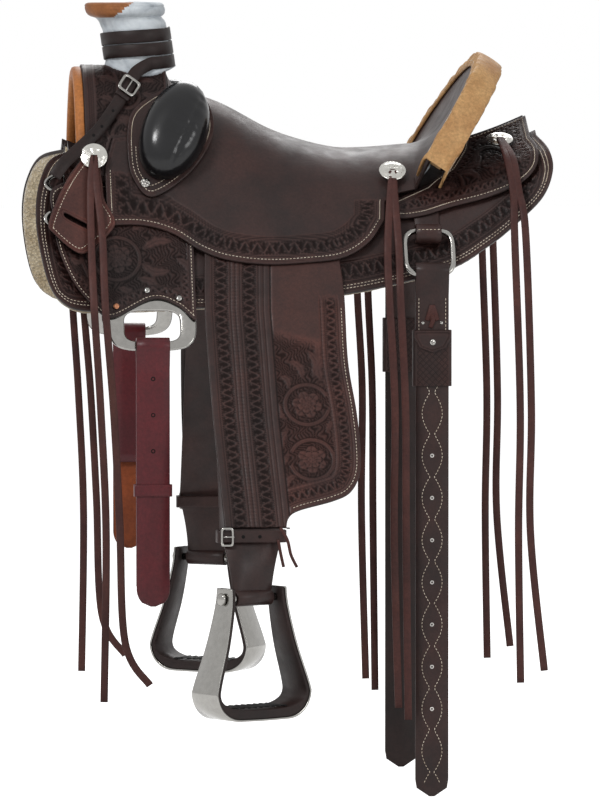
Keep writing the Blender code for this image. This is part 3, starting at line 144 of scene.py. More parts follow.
REAR_JOCKEY_EDGE = [
    (0.112, 0.014), (0.117, -0.001), (0.150, 0.001), (0.190, 0.013), (0.240, 0.026), (0.283, 0.044),
    (0.306, 0.066), (0.312, 0.090), (0.306, 0.104),
]
REAR_JOCKEY_TOP = [(0.306, -0.034), (0.222, -0.034), (0.216, 0.000), (0.196, 0.045), (0.160, 0.078),
                   (0.112, 0.096)]
HOLDER_EDGE = [
    (-0.288, 0.088), (-0.279, 0.050), (-0.276, 0.022), (-0.263, -0.003), (-0.267, -0.018), (-0.292, -0.040),
    (-0.313, -0.048), (-0.346, -0.022), (-0.352, -0.004), (-0.323, 0.054),
]
FENDER_EDGE = [
    (-0.143, -0.036), (-0.143, -0.036), (-0.146, -0.120), (-0.141, -0.260), (-0.133, -0.375),
    (-0.1315, -0.402), (-0.1315, -0.402), (-0.050, -0.402), (-0.050, -0.402),
    (-0.046, -0.389), (-0.032, -0.380), (0.014, -0.368), (0.037, -0.357), (0.050, -0.335), (0.053, -0.304),
    (0.050, -0.253), (0.042, -0.188), (0.041, -0.098), (0.034, -0.036), (0.034, -0.036),
]


# Numbers and curves

SKEW = (0.31, 0.2, 0.93)  # a way that no piece's outward one lies along
FAR_AWAY = 1e9


def stack(x, y, z):
    return np.stack(np.broadcast_arrays(x, y, z), axis=-1).astype(float)


def unit(vectors):
    return vectors / np.maximum(np.linalg.norm(vectors, axis=-1, keepdims=True), 1e-12)


def smooth_step(low, high, value):
    s = np.clip((value - low) / (high - low), 0, 1)
    return s * s * (3 - 2 * s)


def bell(value, wide, power=2):
    """1 where the value is 0, falling away over a width."""
    return np.exp(-(value / wide) ** power)


def round_angles(count):
    """Angles evenly spaced round a circle."""
    return np.arange(count) * 2 * np.pi / count


def squared(turn, power):
    """The cosines and sines of angles, pushed out from a circle towards a square."""
    c, s = np.cos(turn), np.sin(turn)
    reach = (np.abs(c) ** power + np.abs(s) ** power) ** (-1 / power)
    return reach * c, reach * s


def axes_across(out):
    """An outward way and two ways across it."""
    out = unit(np.asarray(out, float))
    across = unit(np.cross(out, SKEW))
    return out, across, np.cross(out, across)


def curve_through(points, steps, closed=False):
    """A smooth curve through the points, with so many steps to the next. A point given twice is a corner."""
    points = np.array(points, float)
    count = len(points)
    out = []
    for i in range(count if closed else count - 1):
        before = points[(i - 1) % count] if closed or i else points[0]
        here = points[i]
        there = points[(i + 1) % count]
        after = points[(i + 2) % count] if closed or i + 2 < count else points[-1]
        for step in range(steps):
            s = step / steps
            out.append(0.5 * (
                2 * here + (there - before) * s + (2 * before - 5 * here + 4 * there - after) * s * s
                + (3 * here - before - 3 * there + after) * s ** 3
            ))
    if not closed:
        out.append(points[-1])
    keep = [out[0]] + [b for a, b in zip(out, out[1:]) if np.abs(b - a).max() > 1e-7]
    return np.array(keep)


def spaced(points, step, closed=False):
    """The same line with its points a step apart."""
    points = np.array(points, float)
    if closed:
        points = np.vstack([points, points[:1]])
    lengths = np.concatenate([[0], np.cumsum(np.linalg.norm(np.diff(points, axis=0), axis=1))])
    count = max(2, int(round(lengths[-1] / step)))
    marks = np.linspace(0, lengths[-1], count + 1)
    if closed:
        marks = marks[:-1]
    return np.stack([np.interp(marks, lengths, points[:, k]) for k in range(points.shape[1])], axis=1)


def hermite_table():
    """The crown line read off densely, with the same slopes as the frame's."""
    xs, zs = [], []
    for i in range(len(CROWN) - 1):
        (x0, y0), (x1, y1) = CROWN[i], CROWN[i + 1]
        before, after = CROWN[max(i - 1, 0)], CROWN[min(i + 2, len(CROWN) - 1)]
        m0 = (y1 - before[1]) / (x1 - before[0])
        m1 = (after[1] - y0) / (after[0] - x0)
        h = x1 - x0
        for s in np.linspace(0, 1, 40, endpoint=i == len(CROWN) - 2):
            xs.append(x0 + h * s)
            zs.append((2 * s ** 3 - 3 * s * s + 1) * y0 + (s ** 3 - 2 * s * s + s) * h * m0
                      + (3 * s * s - 2 * s ** 3) * y1 + (s ** 3 - s * s) * h * m1)
    return np.array(xs), np.array(zs)


CROWN_X, CROWN_Z = hermite_table()


# Surfaces: the horse's side, the seat over the fork, and the cantle's dish

def back_line(t):
    """Reach, height and slope of the back at a distance t down from the channel."""
    t = np.asarray(t, float)
    top = np.minimum(t, TOP_RUN)
    angle = TOP_ANGLE + TURN_RATE * np.clip(t - TOP_RUN, 0, BEND_RUN)
    rest = np.maximum(t - SHOULDER, 0)
    y = (CHANNEL_HALF + top * math.cos(TOP_ANGLE) + (np.sin(angle) - math.sin(TOP_ANGLE)) / TURN_RATE
         + rest * math.cos(SIDE_ANGLE))
    z = (CHANNEL_HEIGHT - top * math.sin(TOP_ANGLE) + (np.cos(angle) - math.cos(TOP_ANGLE)) / TURN_RATE
         - rest * math.sin(SIDE_ANGLE))
    return y, z, angle


def lift(x):
    return FRONT_RISE * np.maximum(0, LEVEL_FRONT - x) ** 2 + REAR_RISE * np.maximum(0, x - LEVEL_REAR) ** 2


def on_back(x, t, d, side):
    y, z, angle = back_line(t)
    return stack(x, side * (y + d * np.sin(angle)), z + d * np.cos(angle) + lift(x))


def flat_side(x, t, d, side):
    """The flat part of the side, without the rise towards the ends."""
    y, z, angle = back_line(t)
    return stack(x, side * (y + d * np.sin(angle)), z + d * np.cos(angle))


def reached(low, high, wanted, height):
    """Where a height that falls from low to high reaches the one wanted."""
    wanted = np.asarray(wanted, float)
    low = np.full(wanted.shape, float(low))
    high = np.full(wanted.shape, float(high))
    for _ in range(36):
        middle = (low + high) / 2
        above = height(middle) > wanted
        low = np.where(above, middle, low)
        high = np.where(above, high, middle)
    return (low + high) / 2


def down_back(x, z, d):
    return reached(-0.045, SHOULDER + 0.6, z, lambda t: on_back(x, t, d, FAR)[..., 2])


def bezier(corners, s):
    a, b, c, d = corners
    s = s[..., None]
    return a * (1 - s) ** 3 + b * 3 * s * (1 - s) ** 2 + c * 3 * s * s * (1 - s) + d * s ** 3


def section(x, v, out, crown=None, flat=None):
    """The seat's inner surface at x: v is 0 at the centre, 1 at the shoulder and grows down the side."""
    x, v, out = np.broadcast_arrays(np.asarray(x, float), np.asarray(v, float), np.asarray(out, float))
    side = np.where(v > 0, 1.0, -1.0)
    reach = np.minimum(np.abs(v), 1.0)
    height = (np.interp(x, CROWN_X, CROWN_Z) if crown is None else np.full(x.shape, crown)) - JOCKEY
    blend = np.clip((x - FORK_REAR) / 0.1, 0, 1)
    wide = FORK_FLAT + (SEAT_FLAT - FORK_FLAT) * blend if flat is None else np.full(x.shape, flat)
    shoulder = on_back(x, SHOULDER, SEAT_IN, FAR)
    pull = SIDE_PULL * (height - shoulder[..., 2]) / math.sin(SIDE_ANGLE)
    zero = np.zeros(x.shape)
    corners = [
        np.stack([zero, height], -1), np.stack([wide, height], -1),
        np.stack([shoulder[..., 1] - pull * math.cos(SIDE_ANGLE),
                  shoulder[..., 2] + pull * math.sin(SIDE_ANGLE)], -1),
        np.stack([shoulder[..., 1], shoulder[..., 2]], -1),
    ]
    place = bezier(corners, reach)
    slope = unit(bezier(corners, np.minimum(reach + 1e-4, 1)) - bezier(corners, np.minimum(reach, 1 - 1e-4)))
    over = stack(x, side * (place[..., 0] - out * slope[..., 1]), place[..., 1] + out * slope[..., 0])
    below = on_back(x, SHOULDER + (np.maximum(np.abs(v), 1) - 1) * 0.1, SEAT_IN + out, side)
    return np.where((np.abs(v) >= 1)[..., None], below, over)


def rim(v):
    turn = v * math.pi / 2
    rise = np.maximum(0, np.cos(turn)) ** 0.85
    return stack(RIM_END[0] + (RIM_TOP[0] - RIM_END[0]) * rise, RIM_HALF * np.sin(turn),
                 RIM_END[1] + (RIM_TOP[1] - RIM_END[1]) * rise)


def dish(r, v):
    """The seat's inner surface behind DISH_START: r is 0 there and 1 at the rim."""
    r, v = np.broadcast_arrays(np.asarray(r, float), np.asarray(v, float))
    reach = v / DISH_WIDTH
    start = section(np.full(v.shape, DISH_START), v, 0)
    end = rim(reach)
    up = unit(np.array([RIM_TOP[0] - RIM_END[0], 0, RIM_TOP[1] - RIM_END[1]]))
    hold = (1 - np.abs(reach))[..., None]
    corners = [start, start + np.array([1.0, 0, 0]) * (0.055 * hold + 0.004),
               end - up * (0.060 * hold + 0.006), end]
    return bezier(corners, r)


def on_seat(u, v, out):
    """The seat's surface at u, which is X up to the dish and then runs on up it."""
    u, v, out = np.broadcast_arrays(np.asarray(u, float), np.asarray(v, float), np.asarray(out, float))
    step = 0.0005
    r = np.clip((u - DISH_START) / DISH_RUN, 0, 1)
    edge = np.clip(v, -DISH_WIDTH + step, DISH_WIDTH - step)
    inner = np.clip(v, -DISH_WIDTH, DISH_WIDTH)
    along_u = dish(np.minimum(1, r + step), inner) - dish(np.maximum(0, r - step), inner)
    along_v = dish(r, edge + step) - dish(r, edge - step)
    up_dish = dish(r, inner) + unit(np.cross(along_u, along_v)) * out[..., None]
    return np.where((u <= DISH_START)[..., None], section(u, v, out), up_dish)


def fork_side(x, v, out):
    return section(x, v, out, FORK_HEIGHT, FORK_FLAT)


def down_section(x, z, crown=None, flat=None):
    return reached(0, 2.6, z, lambda v: section(x, v, 0, crown, flat)[..., 2])


def down_fork(x, z):
    return down_section(x, z, FORK_HEIGHT, FORK_FLAT)


def on_fork(x, w, d):
    return fork_side(x, to_v(w), d)


def laid(surface, side):
    """A surface as a function of the place and depth alone, on one side of the horse."""
    return lambda x, t, d: surface(x, t, d, side)


def to_v(w):
    """The place v on a section from a distance w across it, in metres."""
    reach = np.abs(w)
    return np.sign(w) * np.where(reach < METRES_PER_V, reach / METRES_PER_V, 1 + (reach - METRES_PER_V) * 10)


def to_w(v):
    reach = np.abs(v)
    return np.sign(v) * np.where(reach < 1, reach * METRES_PER_V, METRES_PER_V + (reach - 1) * 0.1)


def horn_axis(z):
    return HORN_X + HORN_LEAN * (z - 0.22)


# Meshes

def shown(name, points, faces, look, values=None, marks=None, more=()):
    """A closed mesh object, with values kept on its points; marks number the faces of its other materials."""
    mesh = bpy.data.meshes.new(name)
    mesh.from_pydata(np.asarray(points).tolist(), [], [list(map(int, face)) for face in faces])
    mesh.update()
    for key, numbers in (values or {}).items():
        layer = mesh.attributes.new(key, "FLOAT", "POINT")
        layer.data.foreach_set("value", np.asarray(numbers, np.float32))
    for each in (look, *more):
        mesh.materials.append(LOOKS[each])
    if marks is not None:
        mesh.polygons.foreach_set("material_index", np.asarray(marks, np.int32))
    mesh.polygons.foreach_set("use_smooth", np.ones(len(mesh.polygons), bool))
    mesh.calc_loop_triangles()
    corners = np.empty(len(mesh.loop_triangles) * 3, np.int32)
    mesh.loop_triangles.foreach_get("vertices", corners)
    spots = np.asarray(points, float)[corners.reshape(-1, 3)]
    spots = spots - spots.reshape(-1, 3).mean(0)
    if np.einsum("ij,ij->i", spots[:, 0], np.cross(spots[:, 1], spots[:, 2])).sum() < 0:
        mesh.flip_normals()
    body = bpy.data.objects.new(name, mesh)
    bpy.context.scene.collection.objects.link(body)
    return body


def placed(body, rides, slot, *nodes):
    """What every piece says: the body it rides on, the finish's slot, which is not used, and the nodes that it
    stands for.
    """
    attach(body, rides)
    if nodes:
        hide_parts(*nodes)
    return body


def inside(outline, points):
    """Which points lie inside a closed outline."""
    x, y = points[:, 0], points[:, 1]
    result = np.zeros(len(points), bool)
    for (ax, ay), (bx, by) in zip(outline, np.roll(outline, -1, axis=0)):
        crosses = (ay > y) != (by > y)
        if ay != by:
            result ^= crosses & (x < (bx - ax) * (y - ay) / (by - ay) + ax)
    return result


def edge_facts(outline, points):
    """Each point's distance from the outline, and how far round the outline the nearest place is."""
    best = np.full(len(points), 1e9)
    run = np.zeros(len(points))
    walked = 0.0
    for a, b in zip(outline, np.roll(outline, -1, axis=0)):
        d = b - a
        length = np.linalg.norm(d)
        if length < 1e-9:
            continue
        s = np.clip(((points - a) @ d) / length ** 2, 0, 1)
        away = np.linalg.norm(points - a - s[:, None] * d, axis=1)
        nearer = away < best
        best = np.where(nearer, away, best)
        run = np.where(nearer, walked + s * length, run)
        walked += length
    return best, run


class Flat:
    """Leather before it is laid on its surface: points in metres, triangles and distances from its edge."""

    def __init__(self, outline, step, fine=None, coarse=3, holes=()):
        outline = np.array(outline, float)
        area = np.sum(outline[:, 0] * np.roll(outline[:, 1], -1) - np.roll(outline[:, 0], -1) * outline[:, 1])
        if area < 0:
            outline = outline[::-1]
        self.outline = outline
        ring = spaced(outline, step * 1.3, closed=True)
        low, high = outline.min(0), outline.max(0)
        rows = int((high[1] - low[1]) / (step * 0.866)) + 2
        columns = int((high[0] - low[0]) / step) + 2
        i, j = np.meshgrid(np.arange(columns), np.arange(rows))
        grid = np.stack([low[0] + (i + 0.5 * (j % 2)) * step, low[1] + j * step * 0.866], -1).reshape(-1, 2)
        sparse = ((i % coarse == 0) & (j % (2 * (coarse // 2) + 2) == 0)).reshape(-1)
        keep = inside(outline, grid)
        grid, sparse = grid[keep], sparse[keep]
        away, run = edge_facts(ring, grid)
        wanted = np.ones(len(grid), bool) if fine is None else (fine(grid[:, 0], grid[:, 1], away) | sparse)
        grid = grid[wanted & (away > step * 0.75)]
        inner = []
        for inset in (0.0006, 0.0014):
            ahead = unit(np.roll(ring, -1, axis=0) - np.roll(ring, 1, axis=0))
            inner.append(ring + np.stack([-ahead[:, 1], ahead[:, 0]], -1) * inset)
        inner = np.vstack(inner)
        near, _ = edge_facts(ring, inner)
        inner = inner[inside(outline, inner) & (near > 0.0004)]
        points = np.vstack([ring, inner, grid])
        loops = [list(range(len(ring)))]
        self.holes = []
        for hole in holes:
            hole = spaced(hole, step, closed=True)
            first = len(points)
            points = np.vstack([points[~inside(hole, points)], hole])
            loops.append(list(range(first, first + len(hole))))
            self.holes.append(hole)
        found = delaunay_2d_cdt([Vector(p) for p in points], [], [loops[0]] if not holes else loops, 1, 1e-7)
        self.points = np.array([tuple(p) for p in found[0]])
        faces = [face for face in found[2]]
        if holes:
            middles = np.array([self.points[list(face)].mean(0) for face in faces])
            drop = np.zeros(len(faces), bool)
            for hole in self.holes:
                drop |= inside(hole, middles)
            faces = [face for face, gone in zip(faces, drop) if not gone]
        self.faces = np.array(faces)
        a, b, c = (self.points[self.faces[:, k]] for k in range(3))
        turn = (b[:, 0] - a[:, 0]) * (c[:, 1] - a[:, 1]) - (b[:, 1] - a[:, 1]) * (c[:, 0] - a[:, 0])
        self.faces[turn < 0] = self.faces[turn < 0][:, ::-1]
        self.edge, self.run = edge_facts(ring, self.points)
        for hole in self.holes:
            away, _ = edge_facts(hole, self.points)
            self.edge = np.minimum(self.edge, away)

    def borders(self):
        """The directed sides that only one triangle has."""
        sides = np.vstack([self.faces[:, [0, 1]], self.faces[:, [1, 2]], self.faces[:, [2, 0]]])
        count = len(self.points)
        keys = sides[:, 0] * count + sides[:, 1]
        back = sides[:, 1] * count + sides[:, 0]
        return sides[~np.isin(keys, back)]


def leather(name, flat, place, low, high, look, relief=None, round_edge=0.0011, edge_look="edge", patch=None):
    """A piece of leather of even thickness laid on a surface, its face at high, tooled, its edge rounded.

    A patch is a look and a test of places, for the part of the face that is another colour.
    """
    a, b = flat.points[:, 0], flat.points[:, 1]
    count = len(a)
    height = relief(a, b, flat.edge, flat.run) if relief is not None else np.zeros(count)
    drop = round_edge - np.sqrt(np.maximum(round_edge ** 2 - np.maximum(round_edge - flat.edge, 0) ** 2, 0))
    face_way = 1 if high > low else -1
    top = place(a, b, high + face_way * (height - drop))
    bottom = place(a, b, np.full(count, low))
    sides = flat.borders()
    walls = np.stack([sides[:, 1], sides[:, 0], sides[:, 0] + count, sides[:, 1] + count], -1)
    faces = [list(face) for part in (flat.faces, flat.faces[:, ::-1] + count, walls) for face in part]
    marks = np.ones(len(faces))
    marks[:len(flat.faces)] = 0
    more = [edge_look]
    if patch is not None:
        middles = flat.points[flat.faces].mean(1)
        marks[:len(flat.faces)][patch[1](middles[:, 0], middles[:, 1])] = 2
        more.append(patch[0])
    values = {"tool": np.concatenate([height * 1000, np.zeros(count)])}
    return shown(name, np.vstack([top, bottom]), faces, look, values=values, marks=marks, more=more)


def frames_along(points, outs):
    run = unit(np.gradient(points, axis=0))
    out = unit(outs - run * np.sum(outs * run, axis=1, keepdims=True))
    return run, np.cross(out, run), out


# A stitch's rings: shares of its length and of the thread's radius, and the rise in radii
STITCH_LONG = 0.0034
STITCH_PITCH = 0.0048
THREAD_RADIUS = 0.00048
STITCH_SIDES = 6
STITCH_RINGS = [(-0.5, 0.35, -0.6), (-0.3, 1.0, 0.25), (0.3, 1.0, 0.25), (0.5, 0.35, -0.6)]


def stitches(points, outs):
    """Thread showing as short rounded bars along a line, each sunk at its ends: their points and faces."""
    marks = spaced(np.hstack([points, outs]), STITCH_PITCH)
    places = marks[:, :3]
    run, across, out = frames_along(places, marks[:, 3:])
    template = np.array([
        (s * STITCH_LONG, THREAD_RADIUS * share * math.cos(t), THREAD_RADIUS * (share * math.sin(t) + rise))
        for s, share, rise in STITCH_RINGS for t in round_angles(STITCH_SIDES)
    ])
    count = len(template)
    body = sum(way[:, None] * template[None, :, k:k + 1] for k, way in enumerate((run, across, out)))
    faces = tube_faces(len(STITCH_RINGS), STITCH_SIDES)
    every = [[index + count * i for index in face] for i in range(len(places)) for face in faces]
    return (places[:, None] + body).reshape(-1, 3), every


def merged(name, pieces, look):
    """Several bodies, each a pair of points and faces, as one object."""
    points, faces, first = [], [], 0
    for body, its_faces in pieces:
        points.append(body)
        faces += [[index + first for index in face] for face in its_faces]
        first += len(body)
    return shown(name, np.vstack(points), faces, look)


def tube_faces(rings, count, closed=False):
    """The faces round a tube and, if it isn't closed on itself, at its two ends."""
    faces = []
    for r in range(rings if closed else rings - 1):
        n = (r + 1) % rings
        for k in range(count):
            j = (k + 1) % count
            faces.append([r * count + k, r * count + j, n * count + j, n * count + k])
    if not closed:
        faces.append(list(range(count))[::-1])
        faces.append([(rings - 1) * count + k for k in range(count)])
    return faces


def ringed(rings, closed=False):
    """A tube from its rings, one after another."""
    return np.vstack(rings), tube_faces(len(rings), len(rings[0]), closed)


def woven(lines, closed=False):
    """A tube from the lines that run along it, one for each corner of its section."""
    return np.stack(lines, axis=1).reshape(-1, 3), tube_faces(len(lines[0]), len(lines), closed)


def band(points, outs, width, thick, corner=0.0007, crown=0.0):
    """A strap along a line: outs point from its flesh side to its face. Width may change along it."""
    across, out = frames_along(points, outs)[1:]
    width = np.broadcast_to(width, len(points))
    thick = np.broadcast_to(thick, len(points))
    shape = [
        (-0.5, -0.5, 0, corner), (-0.5, -0.5, corner, 0), (0.5, -0.5, -corner, 0), (0.5, -0.5, 0, corner),
        (0.5, 0.5, 0, -corner), (0.5, 0.5, -corner, 0), (0.17, 0.5, 0, crown), (-0.17, 0.5, 0, crown),
        (-0.5, 0.5, corner, 0), (-0.5, 0.5, 0, -corner),
    ]
    return woven([
        points + across * (width * a + da)[:, None] + out * (thick * b + db)[:, None]
        for a, b, da, db in shape
    ])


def flat_band(points, out, width, thick):
    """A strap whose face looks one way all along."""
    return band(points, np.tile(out, (len(points), 1)), width, thick)


def turned(profile, count):
    """A body from (height, radius, shift along X) rings about the horn's leaning axis."""
    turn = round_angles(count)
    return ringed([
        stack(horn_axis(z) + shift + radius * np.cos(turn), radius * np.sin(turn), z)
        for z, radius, shift in profile
    ])


# Materials

SHINE = 0.22
# Shades from the tooling's lowest places to its highest: dark antique dye with painted shade in the low
# places, and a painted highlight on the raised places
TOOLED_DYE_SHADE_AND_HIGHLIGHT = [
    (0.0, (0.30, 0.27, 0.26)), (0.40, (0.70, 0.64, 0.62)), (0.76, (1.5, 1.36, 1.30)), (0.87, (1.0, 1.0, 1.0)),
    (1.0, (1.9, 1.75, 1.65)),
]


def material(name):
    """A new material, its nodes, its shader, and the object's own coordinates."""
    made = bpy.data.materials.new(name)
    made.use_nodes = True
    tree = made.node_tree
    where = node(tree, "ShaderNodeTexCoord").outputs["Object"]
    return made, tree, tree.nodes["Principled BSDF"], where


def wire(tree, made, inputs):
    """Sets a node's inputs, or links those that are given as sockets."""
    for key, value in dict(inputs).items():
        if isinstance(value, bpy.types.NodeSocket):
            tree.links.new(value, made.inputs[key])
        else:
            made.inputs[key].default_value = value


def node(tree, kind, inputs=(), **settings):
    made = tree.nodes.new(kind)
    for key, value in settings.items():
        setattr(made, key, value)
    wire(tree, made, inputs)
    return made


def ramp(tree, factor, *stops):
    """Colours, or greys given as one number, at places from 0 to 1."""
    made = node(tree, "ShaderNodeValToRGB", {"Fac": factor})
    line = made.color_ramp
    while len(line.elements) < len(stops):
        line.elements.new(0.5)
    for element, (place, colour) in zip(line.elements, stops):
        element.position = place
        element.color = (*(colour if isinstance(colour, tuple) else (colour,) * 3), 1)
    return made.outputs["Color"]


def noise(tree, where, scale, detail=3.0, roughness=0.55, distortion=0.0):
    return node(tree, "ShaderNodeTexNoise", {
        "Vector": where, "Scale": scale, "Detail": detail, "Roughness": roughness, "Distortion": distortion,
    }).outputs["Fac"]


def cells(tree, where, scale, **settings):
    return node(tree, "ShaderNodeTexVoronoi", {"Vector": where, "Scale": scale},
                **settings).outputs["Distance"]


def bumped(tree, height, strength, distance, normal=None, **settings):
    inputs = {"Height": height, "Strength": strength, "Distance": distance}
    if normal is not None:
        inputs["Normal"] = normal
    return node(tree, "ShaderNodeBump", inputs, **settings).outputs["Normal"]


def linear(red, green, blue):
    """A colour picked on the screen's scale, as the shader's linear one."""
    def one(value):
        value = value / 255
        return value / 12.92 if value <= 0.04045 else ((value + 0.055) / 1.055) ** 2.4
    return one(red), one(green), one(blue)


def mixed(tree, factor, first, second, blend="MIX"):
    made = node(tree, "ShaderNodeMix", data_type="RGBA", blend_type=blend)
    sockets = [s for s in made.inputs if s.type == "RGBA"]
    for socket, value in ((made.inputs[0], factor), (sockets[0], first), (sockets[1], second)):
        if isinstance(value, bpy.types.NodeSocket):
            tree.links.new(value, socket)
        else:
            socket.default_value = value if socket.type == "VALUE" else (*value, 1)
    return [s for s in made.outputs if s.type == "RGBA"][0]


def leather_look(name, dark, light, rough=(0.42, 0.62), grain=900.0, grain_bump=0.12, tooled=False, coat=0.0,
                 patch=14.0, crease=0.25):
    """Leather: cloudy dye, fine grain, faint creases, and, where tooled, dark dye with painted shade in the
    tooling's low places and a painted highlight on its raised places.
    """
    made, tree, shader, where = material(name)
    cloud = ramp(tree, noise(tree, where, patch, 5.0, 0.6), (0.3, linear(*dark)), (0.72, linear(*light)))
    speck = ramp(tree, noise(tree, where, 260.0, 4.0, 0.7), (0.3, 0.72), (0.7, (1.18, 1.16, 1.14)))
    colour = mixed(tree, 1.0, cloud, speck, "MULTIPLY")
    shine = SHINE
    if tooled:
        tool = node(tree, "ShaderNodeAttribute", attribute_name="tool").outputs["Fac"]
        low = node(tree, "ShaderNodeMapRange", {"Value": tool, "From Min": -1.0, "From Max": 0.15})
        low = low.outputs["Result"]
        # The tooling's low places darkened with antique dye and painted shade, its raised places lightened as
        # a painted highlight
        colour = mixed(tree, 1.0, colour, ramp(tree, low, *TOOLED_DYE_SHADE_AND_HIGHLIGHT), "MULTIPLY")
        shine = ramp(tree, low, (0.0, 0.06), (0.75, SHINE))
    normal = bumped(tree, cells(tree, where, grain, feature="DISTANCE_TO_EDGE"), grain_bump, 0.0006)
    wire(tree, shader, {
        "Base Color": colour, "Specular IOR Level": shine, "Coat Weight": coat, "Coat Roughness": 0.28,
        "Roughness": ramp(tree, noise(tree, where, 45.0, 4.0), (0.3, rough[0]), (0.7, rough[1])),
        "Normal": bumped(tree, noise(tree, where, 70.0, 6.0, 0.65, 1.5), crease, 0.0012, normal),
    })
    return made


def steel_look(name, colour, rough=0.2, engraved=False):
    made, tree, shader, where = material(name)
    colour = linear(*colour)
    worn = tuple(c * 0.82 for c in colour)
    if engraved:
        normal = bumped(tree, cells(tree, where, 420.0, feature="DISTANCE_TO_EDGE"), 0.5, 0.0005)
    else:
        normal = bumped(tree, noise(tree, where, 500.0, 2.0), 0.05, 0.0005)
    wire(tree, shader, {
        "Base Color": ramp(tree, noise(tree, where, 120.0, 5.0, 0.7), (0.3, worn), (0.7, colour)),
        "Roughness": ramp(tree, noise(tree, where, 300.0, 3.0), (0.3, rough * 0.8), (0.7, rough * 1.5)),
        "Metallic": 1.0, "Normal": normal,
    })
    return made


def hide_look(name):
    made, tree, shader, where = material(name)
    cloud = noise(tree, where, 38.0, 6.0, 0.62, 0.6)
    fibres = bumped(tree, noise(tree, where, 340.0, 5.0, 0.75), 0.45, 0.0008)
    wire(tree, shader, {
        "Base Color": ramp(tree, cloud, (0.28, linear(150, 158, 166)), (0.45, linear(188, 195, 201)),
                           (0.66, linear(210, 216, 220)), (0.85, linear(206, 200, 188))),
        "Roughness": 0.72, "Normal": bumped(tree, cloud, 0.5, 0.003, fibres),
    })
    return made


def wool_look(name):
    made, tree, shader, where = material(name)
    curl = cells(tree, where, 230.0)
    colour = ramp(tree, noise(tree, where, 30.0, 5.0), (0.3, linear(190, 172, 140)),
                  (0.7, linear(228, 216, 190)))
    # Darker away from each curl's middle, where the bump sinks: painted shade in the hollows between the curls
    dark = ramp(tree, curl, (0.0, (1.05, 1.04, 1.02)), (0.6, (0.62, 0.58, 0.52)))
    wire(tree, shader, {
        "Base Color": mixed(tree, 1.0, colour, dark, "MULTIPLY"), "Roughness": 0.95, "Sheen Weight": 0.5,
        "Normal": bumped(tree, curl, 0.9, 0.003, invert=True),
    })
    return made


def wood_look(name):
    made, tree, shader, where = material(name)
    stretch = node(tree, "ShaderNodeMapping", {"Vector": where, "Scale": (2.0, 30.0, 30.0)})
    rings = noise(tree, stretch.outputs["Vector"], 3.0, 6.0, 0.6, 1.2)
    wire(tree, shader, {
        "Base Color": ramp(tree, rings, (0.3, linear(150, 112, 70)), (0.7, linear(198, 160, 110))),
        "Roughness": 0.55,
    })
    return made


def thread_look(name):
    made, tree, shader, where = material(name)
    cloud = noise(tree, where, 150.0, 3.0)
    wire(tree, shader, {
        "Base Color": ramp(tree, cloud, (0.3, linear(178, 160, 138)), (0.7, linear(226, 214, 196))),
        "Roughness": 0.7,
    })
    return made


LOOKS = {
    "leather": leather_look("leather", (32, 21, 20), (54, 34, 31), tooled=True, coat=0.10),
    "reddish": leather_look("reddish", (58, 34, 31), (82, 49, 43), tooled=True, coat=0.06),
    "warm": leather_look("warm", (44, 27, 25), (66, 39, 34), tooled=True, coat=0.10),
    "edge": leather_look("edge", (24, 17, 16), (42, 28, 26), (0.4, 0.55)),
    "string": leather_look("string", (52, 27, 25), (76, 44, 39), (0.45, 0.65)),
    "latigo": leather_look("latigo", (66, 22, 27), (92, 28, 34), (0.34, 0.5), coat=0.12),
    "latigo_back": leather_look("latigo_back", (102, 50, 28), (136, 68, 36), (0.6, 0.8)),
    "tan": leather_look("tan", (118, 72, 42), (160, 104, 62), (0.45, 0.62), patch=22.0),
    "pale_tan": leather_look("pale_tan", (164, 120, 76), (202, 162, 112), (0.45, 0.65), patch=26.0,
                             crease=0.6),
    "orange_tan": leather_look("orange_tan", (150, 92, 48), (186, 120, 66), (0.45, 0.6)),
    "black": leather_look("black", (9, 9, 11), (17, 17, 20), (0.12, 0.22), grain=520.0,
                          grain_bump=0.05, coat=0.30, crease=0.16),
    "rubber": leather_look("rubber", (12, 12, 13), (22, 21, 21), (0.5, 0.7)),
    # Near black: painted shade for the shaded inside of a punched hole
    "hole": leather_look("hole", (6, 4, 4), (10, 7, 7), (0.8, 0.9)),
    "eyelet": leather_look("eyelet", (200, 198, 194), (232, 230, 226)),
    "steel": steel_look("steel", (156, 154, 150), 0.14),
    "engraved": steel_look("engraved", (196, 194, 188), 0.2, engraved=True),
    "copper": steel_look("copper", (176, 122, 92), 0.35),
    "hide": hide_look("hide"),
    "wool": wool_look("wool"),
    "wood": wood_look("wood"),
    "thread": thread_look("thread"),
}


# Tooling: each pattern gives how far the leather's face stands above or below its plain level

GROUND = -0.0010
BEAD_RISE = 0.0005
BEAD_WIDE = 0.0021
BEAD_PITCH = 0.0052
VEIN = 0.0008


def groove(edge, at, wide=0.0011, deep=0.0007):
    return -deep * bell(edge - at, wide)


def grooves(edge, *places):
    return sum(groove(edge, at) for at in places)


def stamped(edge, run, low, high, pitch=0.017):
    """A border of linked S shapes standing out of a sunk band, with a curl in each and a scalloped edge."""
    half = (high - low) / 2
    s = (edge - (low + high) / 2) / half
    wave = 0.62 * np.sin(2 * np.pi * run / pitch)
    steep = np.abs(np.cos(2 * np.pi * run / pitch))
    line = bell((s - wave) * half, 0.0011 + 0.0016 * steep)
    along = (run / pitch * 2 - 0.5) % 1 - 0.5
    curl = bell(np.hypot(along, (s + np.sign(wave) * 0.42) * half / pitch * 2) - 0.16, 0.07)
    scallop = bell((np.abs(s) - 0.80) * half, 0.0010) * np.abs(np.sin(4 * np.pi * run / pitch))
    sunk = smooth_step(-1.0, -0.90, s) * smooth_step(1.0, 0.90, s)
    return sunk * GROUND * (1 - np.maximum(np.maximum(line, 0.85 * curl), 0.8 * scallop))


def beads(edge, run, at):
    return BEAD_RISE * bell(edge - at, BEAD_WIDE) * (np.abs(np.cos(np.pi * run / BEAD_PITCH)) - 0.5)


